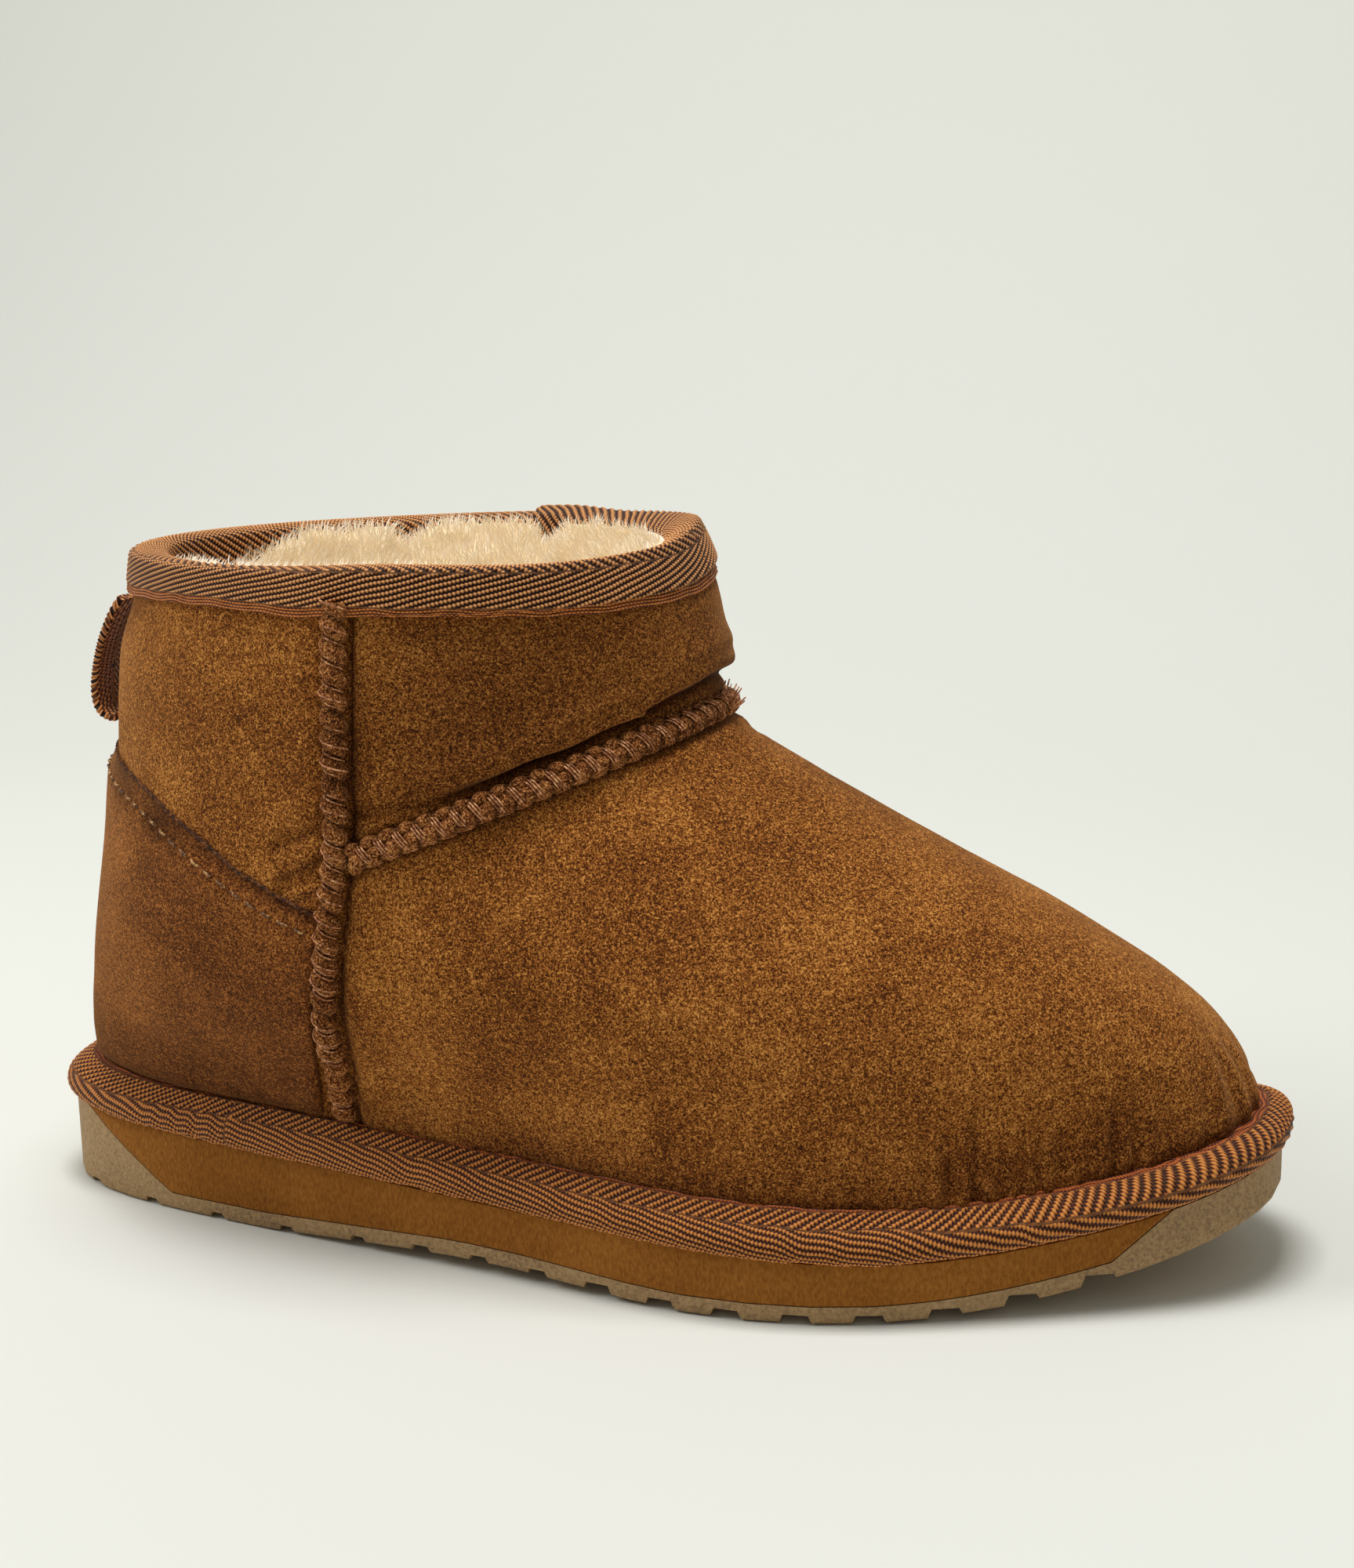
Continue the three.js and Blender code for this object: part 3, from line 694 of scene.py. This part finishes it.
# Side seams: the shaft halves are butted and whipped together over a rolled edge, from welt to collar.
# The thread pulls the roll into rope-like lumps, and a few tan strands cross each of them.
SEAM_LUMP = 4.5 * MM
# The rolled seam edges take painted shade where their cords are thinnest.
seam_hide = suede_finish("rolled_seam_edge", "#2a1106", "#84491f", "#d99a5c", "#241207")
side_seams = (
    ("lateral", lateral_line, lateral_frames), ("medial", medial_line, medial_frames)
)
for side, line, frames in side_seams:
    normals = [n for _, n in frames]
    rope = [p + n * ((0.45 + 0.3 * noise.noise(p / (6 * MM))) * MM) for p, n in zip(line, normals)]
    hand = 1 if side == "lateral" else -1

    def lumps(along, turn):
        wave = abs(sin(pi * (along / SEAM_LUMP + hand * turn / tau)))
        ragged = 0.25 * noise.noise(Vector((along / (3.1 * MM), cos(turn), hand + sin(turn))))
        return (1.05 + (1.6 + ragged) * wave ** 0.6) * MM

    bm = bmesh.new()
    shade = bm.verts.layers.float.new("shade")
    # Painted shade in the hollows between the lumps.
    tube(bm, rope, normals, lumps, around=24, sunk=(shade, 1.05 * MM, 1.95 * MM))
    roughened(bm, 0.36, 1.1 * MM)
    piece_of(bm, f"side_seam_roll_{side}", seam_hide, [f"side_seam_{side}"], hard=180)

    bm = bmesh.new()
    count = int(len(line) * STEP / SEAM_LUMP)
    for k in range(1, count + 1):
        for strand in (-1.2, 0.2, 1.5, 4.4):
            if noise.noise(Vector((k * 1.7, strand * 3.1, hand))) < -0.16:
                continue
            path, outs = [], []
            for m in range(9):
                turn = radians(-112 + 224 * m / 8)
                at = (k - hand * turn / tau) * SEAM_LUMP + strand * 0.42 * MM
                wave = abs(sin(pi * strand * 0.42 * MM / SEAM_LUMP)) ** 0.6
                i = min(len(line) - 1, max(0, round(at / STEP)))
                ahead, normal = frames[i]
                across = ahead.cross(normal)
                out = normal * cos(turn) + across * sin(turn)
                lift = 1.16 + 1.6 * wave + 0.25 * noise.noise(Vector((k, m / 3, strand)))
                path.append(rope[i] + ahead * (at - i * STEP) + out * (lift * MM))
                outs.append(out)
            tube(bm, path, outs, lambda along, turn: 0.2 * MM, around=5)
    piece_of(roughened(bm), f"side_seam_thread_{side}", tan_thread, hard=180)


# Vamp seam: the vamp's thick rolled top edge is whipped to the shaft with a chain of dark knots above.
# Three strands of tan thread cross the roll at every knot.
KNOT = 4.0 * MM
THREAD = 0.21 * MM
normals = [n for _, n in vamp_frames]
bm = bmesh.new()
shade = bm.verts.layers.float.new("shade")
roll_line = [p - u * 0.5 * MM + n * 0.1 * MM for p, u, n in zip(vamp_line, ups, normals)]
# Painted shade in the hollows between the roll's lumps.
tube(
    bm, roll_line, normals,
    lambda along, turn: (1.35 + 0.85 * abs(sin(pi * (along / KNOT + turn / tau))) ** 0.5) * MM,
    around=20, sunk=(shade, 1.35 * MM, 2.05 * MM),
)
roughened(bm, 0.36, 1.2 * MM)
piece_of(bm, "vamp_seam_roll", seam_hide, ["vamp_seam"], hard=180)

bm = bmesh.new()
shade = bm.verts.layers.float.new("shade")
chain_line = [p + u * 2.15 * MM + n * 0.35 * MM for p, u, n in zip(vamp_line, ups, normals)]
# Painted shade where the chain narrows between its knots.
tube(
    bm, chain_line, normals,
    lambda along, turn: (0.45 + 0.9 * abs(sin(pi * along / KNOT)) ** 0.7) * MM,
    around=12, sunk=(shade, 0.45 * MM, 1.25 * MM),
)
roughened(bm, 0.2, 0.9 * MM)
piece_of(bm, "vamp_seam_knots", seam_hide, hard=180)

bm = bmesh.new()
for k in range(1, int(vamp_length / KNOT)):
    lateral_half = k * KNOT < vamp_length / 2
    for strand in range(3):
        path, outs = [], []
        for m in range(9):
            turn = radians(68 - 170 * m / 8)
            lean = (m / 8 - 0.2) * 2.6 * MM * (1 if lateral_half else -1)
            at = k * KNOT + (strand - 1) * 0.62 * MM + lean
            i = min(len(vamp_line) - 1, max(0, round(at / STEP)))
            ahead, normal = vamp_frames[i]
            out = normal * cos(turn) + ups[i] * sin(turn)
            middle = roll_line[i] + ahead * (at - i * STEP) + ups[i] * (0.8 * MM * (1 - m / 8))
            path.append(middle + out * ((2.05 + 0.15 * (strand == 1)) * MM))
            outs.append(out)
        tube(bm, path, outs, lambda along, turn: THREAD, around=5)
# Where the two halves of the seam meet in front, the loose ends stand out as a small tuft.
front = len(vamp_line) // 2
ahead, normal = vamp_frames[front]
for k in range(16):
    swing = k * 2.4
    spread = 0.25 + 0.3 * (k % 4) / 3
    aim = (normal + (ahead * cos(swing) + ups[front] * sin(swing)) * spread).normalized()
    reach = (4.0 + 2.2 * noise.noise(Vector((k * 1.3, 0, 2)))) * MM
    root = roll_line[front] + ahead * (1.2 * MM * cos(swing)) + ups[front] * (1.2 * MM * sin(swing))
    path = [root + aim * (reach * t) + UP * (1.1 * MM * t * t) for t in (0.0, 0.35, 0.7, 1.0)]
    tube(bm, path, [UP] * 4, lambda along, turn: (0.3 - 0.03 * along / MM) * MM, around=5)
piece_of(roughened(bm), "vamp_seam_thread", tan_thread, hard=180)


# Welt tape: a woven herringbone tape folded over the raw edge of the upper and lasted to the midsole.
# It runs in one band round the whole boot, with a looser three-thread selvedge along its top.
TAPE_RIB = 1.15 * MM
TAPE_KNUCKLE = 0.8 * MM


def ring_of(sections, rows, step):
    """Sections round a closed band, evened to equal rows and equal steps, with outward normals."""
    level = [resampled(section, rows) for section in sections]
    for _ in range(3):
        level = [
            [(a + b * 2 + c) / 4 for a, b, c in zip(level[i - 1], level[i], level[(i + 1) % len(level)])]
            for i in range(len(level))
        ]
    lengths = lengths_of([column[rows // 2] for column in level + level[:1]])
    count = round(lengths[-1] / step)
    even, i = [], 0
    for k in range(count):
        target = lengths[-1] * k / count
        while lengths[i + 1] < target:
            i += 1
        t = (target - lengths[i]) / (lengths[i + 1] - lengths[i])
        even.append([a.lerp(b, t) for a, b in zip(level[i], level[(i + 1) % len(level)])])
    return even, lengths[-1]


TAPE_RELIEF = 0.5
TAPE_SUNK = 0.1
SELVEDGE_SUNK = 0.15
LIP_TURN = 0.9 * MM


def tape_band(sections, inward, weave_at, rows):
    """A closed woven band over a ring of sections; weave_at(u, v) gives thread place, rise and edge.
    The rise shapes the ribs, the thread place colours the knuckles with painted shade between them, and
    the edge marks the selvedge."""
    columns = len(sections)
    bm = bmesh.new()
    weave = bm.verts.layers.float_vector.new("weave")
    edge = bm.verts.layers.float.new("edge")
    grid = bmesh.ops.create_grid(
        bm, x_segments=columns, y_segments=rows, size=0.5, calc_uvs=True
    )["verts"]
    for v in grid:
        i = round((v.co.x + 0.5) * columns) % columns
        j = round((v.co.y + 0.5) * rows)
        here = sections[i][j]
        along = sections[(i + 1) % columns][j] - sections[i - 1][j]
        down = sections[i][min(j + 1, rows)] - sections[i][max(j - 1, 0)]
        normal = along.cross(down).normalized()
        if normal.dot(here - inward(here)) < 0:
            normal = -normal
        threads, rise, border = weave_at(i / columns, j / rows)
        v.co = here + normal * ((rise * TAPE_RELIEF - TAPE_SUNK - border * SELVEDGE_SUNK) * MM)
        v[weave] = Vector((threads[0], threads[1], 0))
        v[edge] = border
    bmesh.ops.remove_doubles(bm, verts=bm.verts, dist=0.0005 * MM)
    # The tape has thickness: both lips turn in and meet behind it.
    lip_edges = [e for e in bm.edges if e.is_boundary]
    back = bmesh.ops.extrude_edge_only(bm, edges=lip_edges)["geom"]
    turned = [g for g in back if isinstance(g, bmesh.types.BMVert)]
    for v in turned:
        v.co = v.co.lerp(inward(v.co), LIP_TURN / max(1e-6, (v.co - inward(v.co)).length))
    bmesh.ops.bridge_loops(bm, edges=[e for e in bm.edges if e.is_boundary])
    bmesh.ops.recalc_face_normals(bm, faces=bm.faces)
    return bm


# Past its fold the tape is stretched, and its ribs lie this much further apart.
FOLD_STRETCH = 1.35


def herringbone(u_mm, v_mm, width, fold, lean_low, lean_high, selvedge, at_top):
    """Thread place, rib height and border share of the tape at a place on its face, in millimetres."""
    rib = TAPE_RIB / MM
    border_gap = (width - v_mm) if at_top else v_mm
    if border_gap < selvedge:
        waver = 0.18 * sin(u_mm / 1.9) + 0.22 * noise.noise(Vector((u_mm / 5, 0, 8)))
        across = (border_gap + waver) / (selvedge / 3) + 0.5
        return (u_mm, across), 0.1 + 0.8 * (0.5 + 0.5 * cos(tau * across)), 1.0
    lean = lean_low
    if v_mm >= fold:
        lean = lean_high
        rib *= FOLD_STRETCH
    across = (v_mm - fold) * cos(lean) + u_mm * sin(lean)
    along = u_mm * cos(lean) - (v_mm - fold) * sin(lean)
    waver = 0.12 * noise.noise(Vector((u_mm / 7, v_mm / 3, 2)))
    height = 0.5 + 0.5 * cos(tau * (across / rib + waver))
    return (along, across / rib + waver), height ** 0.8, 0.0


def wave(tree, source, socket):
    """The cosine of a socket's value counted in whole turns."""
    turns = node(tree, "ShaderNodeMath", {"operation": "MULTIPLY", 1: tau}, {0: (source, socket)})
    return node(tree, "ShaderNodeMath", {"operation": "COSINE"}, {0: (turns, 0)})


def twill_finish(name, deep, middle, light, border):
    """Woven polyester twill: each rib is a row of small knuckles, with painted shade darkening the holes
    between the rows and between the knuckles.
    """
    made, tree, shader = finish_of(name, 0.72, Specular_IOR_Level=0.25, Sheen_Weight=0.1)
    weave = node(tree, "ShaderNodeAttribute", {"attribute_name": "weave"})
    parts = node(tree, "ShaderNodeSeparateXYZ", None, {"Vector": (weave, "Vector")})
    row = node(tree, "ShaderNodeMath", {"operation": "ROUND"}, {0: (parts, "Y")})
    steps = weighed(tree, (row, 0, 0.5), (parts, "X", MM / TAPE_KNUCKLE))
    knuckle = wave(tree, steps, 0)
    rib = wave(tree, parts, "Y")
    selvedge = node(tree, "ShaderNodeAttribute", {"attribute_name": "edge"})
    lint = grain(tree, 0.6 * MM, Detail=3, Roughness=0.7)
    fade = grain(tree, 14 * MM, Detail=2)
    cloth = weighed(
        tree, (rib, 0, 0.27), (selvedge, "Fac", 0.13), (knuckle, 0, 0.2), (lint, 0, 0.34), base=0.27
    )
    faded = weighed(tree, (cloth, 0, 1), (fade, 0, 0.16))
    tone = coloured(tree, shader, faded, [(0.3, deep), (0.53, middle), (0.8, light)])
    tinted(tree, shader, tone, "edge", border)
    embossed(tree, shader, cloth, 0.7, 0.3 * MM)
    return made


welt_solid = softened(merged_copy("welt_binding"), 2)
welt_surface = BVHTree.FromBMesh(welt_solid)
welt_solid.free()
SPINE_BACK = Vector((-82 * MM, 0, 0))
SPINE_FRONT = Vector((74 * MM, 0, 0))
REACH = 120 * MM
sections = []
STATIONS = 480
for i in range(STATIONS):
    s = i / STATIONS * 4
    if s < 1:
        base, turn = SPINE_BACK.lerp(SPINE_FRONT, s), -pi / 2
    elif s < 2:
        base, turn = SPINE_FRONT, -pi / 2 + pi * (s - 1)
    elif s < 3:
        base, turn = SPINE_FRONT.lerp(SPINE_BACK, s - 2), pi / 2
    else:
        base, turn = SPINE_BACK, pi / 2 + pi * (s - 3)
    out = Vector((cos(turn), sin(turn), 0))
    column = []
    for k in range(320):
        start = base + out * REACH + UP * ((8 + k * 0.1) * MM)
        hit = welt_surface.ray_cast(start, -out, REACH - 15 * MM)[0]
        if hit:
            column.append(hit)
    # Its top edge lies in against the hide.
    suede_at = upper_surface.ray_cast(column[-1] + out * 2 * MM, -out, 30 * MM)[0]
    gap = max(0.6 * MM, (column[-1] - suede_at).dot(out)) if suede_at else 1.5 * MM
    for k in (0.35, 0.7, 1.0):
        column.append(column[-1] - out * (min(gap, 3 * MM) * 0.38) - UP * (0.22 * k * MM))
    sections.append(column)
WELT_ROWS = 36
welt_ring, welt_length = ring_of(sections, WELT_ROWS, 0.4 * MM)
WELT_WIDTH = sum((a - b).length for a, b in zip(welt_ring[0], welt_ring[0][1:])) / MM


def welt_weave(u, v):
    return herringbone(
        u * welt_length / MM, v * WELT_WIDTH, WELT_WIDTH, WELT_WIDTH * 0.56,
        radians(11), radians(-40), 1.9, True,
    )


tape = twill_finish("herringbone_tape", "#1d0801", "#85420f", "#d48a40", "#e0b48c")
bm = tape_band(welt_ring, lambda p: Vector((p.x * 0.5, 0, p.z)), welt_weave, WELT_ROWS)
piece_of(bm, "welt_tape", tape, ["welt_binding"], hard=180)


# Collar tape: the same herringbone tape folded over the top edge of the shaft and sewn through.
# Its ribs meet in a chevron on the fold, and a three-row selvedge borders its lower edge outside.
collar_solid = softened(merged_copy("collar_binding"), 2)
slump(collar_solid)
collar_surface = BVHTree.FromBMesh(collar_solid)
collar_solid.free()
MOUTH = Vector((-47.5 * MM, 0, 0))
# How much the tape's lower edge is raised, in millimetres, at so many degrees from the mouth's front.
COLLAR_TRIM = [
    (0, -2.6), (26, -1.8), (50, -0.6), (72, -0.1), (94, 0.5), (107, 1.9), (120, 2.9), (135, 3.2),
    (181, 2.7),
]
sections = []
STATIONS = 240
for i in range(STATIONS):
    turn = tau * i / STATIONS
    out = Vector((cos(turn), sin(turn), 0))
    top = None
    for k in range(160):
        start = MOUTH + out * ((28 + k * 0.3) * MM) + UP * 180 * MM
        hit = collar_surface.ray_cast(start, -UP, 60 * MM)[0]
        if hit and (top is None or hit.z > top.z):
            top = hit
    middle = top - UP * 3.2 * MM
    column = []
    for k in range(200):
        start = Vector((MOUTH.x, MOUTH.y, middle.z - (20 - k * 0.1) * MM)) + out * REACH
        hit = collar_surface.ray_cast(start, -out, REACH)[0]
        if hit and (hit - MOUTH).dot(out) > (middle - MOUTH).dot(out):
            column.append(hit)
    # The tape sits lower in front than behind.
    trim = between(COLLAR_TRIM, degrees(abs(atan2(out.y, out.x)))) * MM
    lip = column[0]
    if trim > 0:
        column = [p for p in column if p.z > lip.z + trim]
    else:
        hide = upper_surface.ray_cast(lip + out * 30 * MM, -out, REACH)[0]
        stand = (lip - hide).dot(out)
        longer = []
        for k in range(int(-trim / (0.1 * MM))):
            start = lip + out * 30 * MM + UP * (trim + k * 0.1 * MM)
            longer.append(upper_surface.ray_cast(start, -out, REACH)[0] + out * stand)
        column = longer + column
    for k in range(1, 36):
        tilt = radians(5 * k)
        ray = out * cos(tilt) + UP * sin(tilt)
        hit = collar_surface.ray_cast(middle + ray * 12 * MM, -ray, 12 * MM)[0]
        if hit:
            column.append(hit)
    for k in range(200):
        start = Vector((MOUTH.x, MOUTH.y, middle.z - k * 0.1 * MM))
        hit = collar_surface.ray_cast(start, out, REACH)[0]
        if hit and (hit - MOUTH).dot(out) < (middle - MOUTH).dot(out):
            column.append(hit)
    sections.append(column)
COLLAR_ROWS = 76
collar_ring, collar_length = ring_of(sections, COLLAR_ROWS, 0.38 * MM)
# The tape's end laps over its start on the medial side, toward the front.
LAP = 1.3 * MM
for column in collar_ring:
    if column[COLLAR_ROWS // 2].y > 0:
        rim_top = max(p.z for p in column)
        for p in column:
            lap = share(-37.4 * MM, -36.2 * MM, p.x) * (1 - share(-30 * MM, -12 * MM, p.x))
            p.z += LAP * lap * share(rim_top - 7 * MM, rim_top - 1.5 * MM, p.z)
COLLAR_WIDTH = sum((a - b).length for a, b in zip(collar_ring[0], collar_ring[0][1:])) / MM


def collar_weave(u, v):
    return herringbone(
        u * collar_length / MM, v * COLLAR_WIDTH, COLLAR_WIDTH, COLLAR_WIDTH * 0.39,
        radians(-16), radians(38), 2.0, False,
    )


RIM = tree_of([(column[0] + column[-1]) / 2 for column in collar_ring])
bm = tape_band(collar_ring, lambda p: RIM.find(p)[0], collar_weave, COLLAR_ROWS)
collar_tape = twill_finish("herringbone_collar_tape", "#120501", "#743d17", "#e2a060", "#f0cca0")
piece_of(bm, "collar_tape", collar_tape, ["collar_binding"], hard=180)


# Pull loop: a strap of the same tape, caught under the collar binding and in the back seam.
# It bows away from the heel far enough for a finger.
bm = softened(merged_copy("pull_loop"), 3)
bm.normal_update()
weave = bm.verts.layers.float_vector.new("weave")
edge = bm.verts.layers.float.new("edge")
LOOP_MIDDLE = Vector((-114.5 * MM, 0, 116 * MM))
LOOP_RADIUS = 11.5
LOOP_RELIEF = 0.28 * MM
for v in bm.verts:
    turn = atan2(v.co.z - LOOP_MIDDLE.z, LOOP_MIDDLE.x - v.co.x)
    along = turn * LOOP_RADIUS
    lean = radians(40) if v.co.y > 0 else radians(-40)
    across = ((v.co.y / MM) * cos(lean) + along * sin(lean)) * MM / TAPE_RIB
    rise = 0.5 + 0.5 * cos(tau * across)
    side = share(5.6, 7.2, abs(v.co.y / MM))
    rise = rise * (1 - side) + side * (0.5 + 0.5 * cos(tau * along))
    v[weave] = Vector((along, across, 0))
    v[edge] = 0.35
    v.co += v.normal * ((rise - 0.5) * LOOP_RELIEF)
piece_of(bm, "pull_strap", collar_tape, ["pull_loop"], hard=180)


# Lining: the wool side of the same sheepskin, shorn to an even pile and left standing at the mouth.
# The pile rises over the inner leg of the collar tape in soft tufts.
def wool_top(point):
    """Height at which the wool ends over the inner leg of the collar tape, near a point."""
    column = collar_ring[RIM.find(point)[1]]
    rim_top = max(p.z for p in column[::8])
    bare = 1 - share(-104, -84, point.x / MM)
    if point.y > 0:
        bare = max(bare, 0.85 * hump(point.x / MM, -31, 8), 0.6 * hump(point.x / MM, -66, 7))
    ragged = noise.noise(Vector((point.x / (5 * MM), point.y / (5 * MM), 5)))
    ragged += 0.6 * noise.noise(Vector((point.x / (1.9 * MM), point.y / (1.9 * MM), 3)))
    return column[-1].z + (rim_top - column[-1].z) * (0.92 * (1 - bare)) + 1.4 * ragged * MM


lining = merged_copy("upper")
outside = [
    face for face in lining.faces
    if faces_out(face) or face.normal.z > 0.75 and face.calc_center_median().z > 60 * MM
]
bmesh.ops.delete(lining, geom=outside, context="FACES")
bm = softened(lining, 2)
slump(bm)
stand = bm.verts.layers.float.new("stand")
mouth_edges = [e for e in bm.edges if min(v.co.z for v in e.verts) > 108 * MM]
bmesh.ops.subdivide_edges(bm, edges=mouth_edges, cuts=1, use_grid_fill=True)
bm.normal_update()
for v in bm.verts:
    under = (wool_top(v.co) - v.co.z) / MM
    curl = noise.noise(v.co / (6 * MM)) + 0.7 * noise.noise(v.co / (2.6 * MM))
    push = 0.1 + 3.1 * share(-0.2, 2.4, under) + 3.2 * share(2, 11, under)
    v[stand] = (push + 0.9 * curl * share(0, 3, under)) * MM
for v in bm.verts:
    v.co += v.normal * v[stand]
bm.normal_update()
pile_base = bm.copy()
# Its top edge turns back under the tape.
rim_edges = [e for e in bm.edges if e.is_boundary and e.verts[0].co.z > 100 * MM]
for v in bmesh.ops.extrude_edge_only(bm, edges=rim_edges)["geom"]:
    if isinstance(v, bmesh.types.BMVert):
        v.co += Vector((v.co.x - MOUTH.x, v.co.y, 0)).normalized() * (v[stand] + 0.4 * MM)
# Painted light: the lining glows more towards the mouth, through the wool material's emission.
glow = bm.verts.layers.float.new("glow")
for v in bm.verts:
    v[glow] = share(104 * MM, 132 * MM, v.co.z)
piece_of(bm, "fleece_lining", wool, hard=180)

# One fibre of wool: a flat blade that narrows and bends over at its tip.
FIBRE = 4.2 * MM
FIBRE_WIDTH = 0.17 * MM
FIBRE_BEND = 1.5 * MM
fibre = bmesh.new()
bmesh.ops.create_grid(fibre, x_segments=1, y_segments=2, size=0.5)
for v in fibre.verts:
    rise = v.co.y + 0.5
    wide = FIBRE_WIDTH * v.co.x * 2 * (1 - rise) ** 0.7
    v.co = Vector((wide, FIBRE_BEND * rise ** 2, FIBRE * (rise - 0.25 * rise ** 2)))
bmesh.ops.remove_doubles(fibre, verts=fibre.verts, dist=0.001 * MM)
fibre_mesh = bpy.data.meshes.new("wool_fibre")
fibre.to_mesh(fibre_mesh)
fibre.free()
# Loose wool tips: bright cream, matt, with no grain of their own, and a faint painted glow all over.
tips, _, _ = finish_of(
    "loose_wool_tips", 0.95, Specular_IOR_Level=0.05, Base_Color=paint("#fff3dc"),
    Emission_Color=paint(WOOL_GLOW_COLOUR), Emission_Strength=WOOL_GLOW,
)
fibre_mesh.materials.append(tips)
fibre_object = bpy.data.objects.new("wool_fibre", fibre_mesh)

bmesh.ops.triangulate(pile_base, faces=pile_base.faces)
density = pile_base.verts.layers.float.new("density")
for v in pile_base.verts:
    under = (wool_top(v.co) - v.co.z) / MM
    v[density] = share(-0.6, 0.8, under) * (0.12 + 0.88 * (1 - share(16, 24, under)))
base_mesh = bpy.data.meshes.new("pile_base")
pile_base.to_mesh(base_mesh)
pile_base.free()
base = placed("pile_base", base_mesh)

tree = bpy.data.node_groups.new("wool_pile", "GeometryNodeTree")
tree.interface.new_socket("Geometry", in_out="INPUT", socket_type="NodeSocketGeometry")
tree.interface.new_socket("Geometry", in_out="OUTPUT", socket_type="NodeSocketGeometry")
skin = node(tree, "NodeGroupInput")
amount = node(tree, "GeometryNodeInputNamedAttribute", {"data_type": "FLOAT", "Name": "density"})
PILE_PER_MM2 = 5.6
crowd = node(
    tree, "ShaderNodeMath", {"operation": "MULTIPLY", 1: PILE_PER_MM2 / MM ** 2},
    {0: (amount, "Attribute")},
)
roots = node(
    tree, "GeometryNodeDistributePointsOnFaces", {"Seed": 7},
    {"Mesh": (skin, 0), "Density": (crowd, 0)},
)
stray = node(
    tree, "FunctionNodeRandomValue",
    {"data_type": "FLOAT_VECTOR", "Min": (-0.8, -0.8, -0.5), "Max": (0.8, 0.8, 0.9), "Seed": 3},
)
lean = node(
    tree, "ShaderNodeVectorMath", {"operation": "ADD"}, {0: (roots, "Normal"), 1: (stray, 0)}
)
rising = node(
    tree, "ShaderNodeVectorMath", {"operation": "ADD", 1: (0, 0, 0.45)}, {0: (lean, 0)}
)
aim = node(tree, "FunctionNodeAlignRotationToVector", {"axis": "Z"}, {"Vector": (rising, 0)})
size = node(tree, "FunctionNodeRandomValue", {"data_type": "FLOAT", "Seed": 5})
size.inputs[2].default_value = 0.45
size.inputs[3].default_value = 1.0
seed_fibre = node(tree, "GeometryNodeObjectInfo", {"Object": fibre_object})
planted = node(
    tree, "GeometryNodeInstanceOnPoints", None,
    {
        "Points": (roots, "Points"), "Instance": (seed_fibre, "Geometry"),
        "Rotation": (aim, 0), "Scale": (size, 1),
    },
)
grown = node(tree, "GeometryNodeRealizeInstances", None, {"Geometry": (planted, 0)})
out = node(tree, "NodeGroupOutput", None, {0: (grown, 0)})
growth = base.modifiers.new("growth", "NODES")
growth.node_group = tree
bm = bmesh.new()
bm.from_object(base, bpy.context.evaluated_depsgraph_get())
bpy.data.objects.remove(base)
bpy.data.objects.remove(fibre_object)
piece_of(bm, "fleece_pile", tips, hard=180)


# Studio: a plain pale sweep that runs up behind the boot, two large soft lights and a pale room.
FLAT = 1.6
CURVE = 0.5
sweep = bmesh.new()
bmesh.ops.create_grid(sweep, x_segments=1, y_segments=40, size=1.0)
for v in sweep.verts:
    run = (v.co.y + 1) * 1.3
    bend = max(0.0, run - FLAT)
    tilt = min(bend / CURVE, pi / 2)
    v.co.x *= 3.5
    v.co.y = -1.2 + min(run, FLAT) + CURVE * sin(tilt)
    v.co.z = CURVE * (1 - cos(tilt)) + max(0.0, bend - CURVE * pi / 2) * 1.2
sweep_mesh = bpy.data.meshes.new("studio_floor")
bmesh.ops.recalc_face_normals(sweep, faces=sweep.faces)
sweep.to_mesh(sweep_mesh)
sweep.free()
sweep_mesh.shade_smooth()
paper, _, _ = finish_of("matt_paper", 0.95, Specular_IOR_Level=0.0, Base_Color=paint("#e2e3dc"))
sweep_mesh.materials.append(paper)
placed("studio_floor", sweep_mesh)

room = bpy.data.worlds.new("room")
bpy.context.scene.world = room
room.use_nodes = True
room.node_tree.nodes["Background"].inputs["Color"].default_value = paint("#f4f4ee")
room.node_tree.nodes["Background"].inputs["Strength"].default_value = 0.3


def lamp(name, place, power, size):
    """A square soft light aimed at the middle of the boot."""
    light = bpy.data.lights.new(name, "AREA")
    light.energy = power
    light.size = size
    lamp_object = placed(name, light)
    lamp_object.location = place
    lamp_object.rotation_euler = (Vector((0, 0, 0.07)) - Vector(place)).to_track_quat("-Z", "Y").to_euler()


lamp("key", (-1.0, -0.45, 1.0), 6.5, 0.6)
lamp("top", (0.0, -0.06, 1.4), 13.5, 0.5)

# Camera: low and close on the lateral side, a little ahead of the boot, as a catalogue shot.
camera = bpy.data.cameras.new("camera")
camera.lens = 58.12
camera.sensor_width = 36
view = placed("camera", camera)
eye = Vector((0.1778, -0.4854, 0.2111))
aim_at = Vector((0.0059, 0.0110, 0.0921))
level = (aim_at - eye).to_track_quat("-Z", "Y")
view.rotation_mode = "QUATERNION"
view.rotation_quaternion = level @ Quaternion((0, 0, 1), radians(-1.28))
view.location = eye
camera.clip_start = 0.01
bpy.context.scene.camera = view
bpy.context.scene.view_settings.view_transform = "Standard"
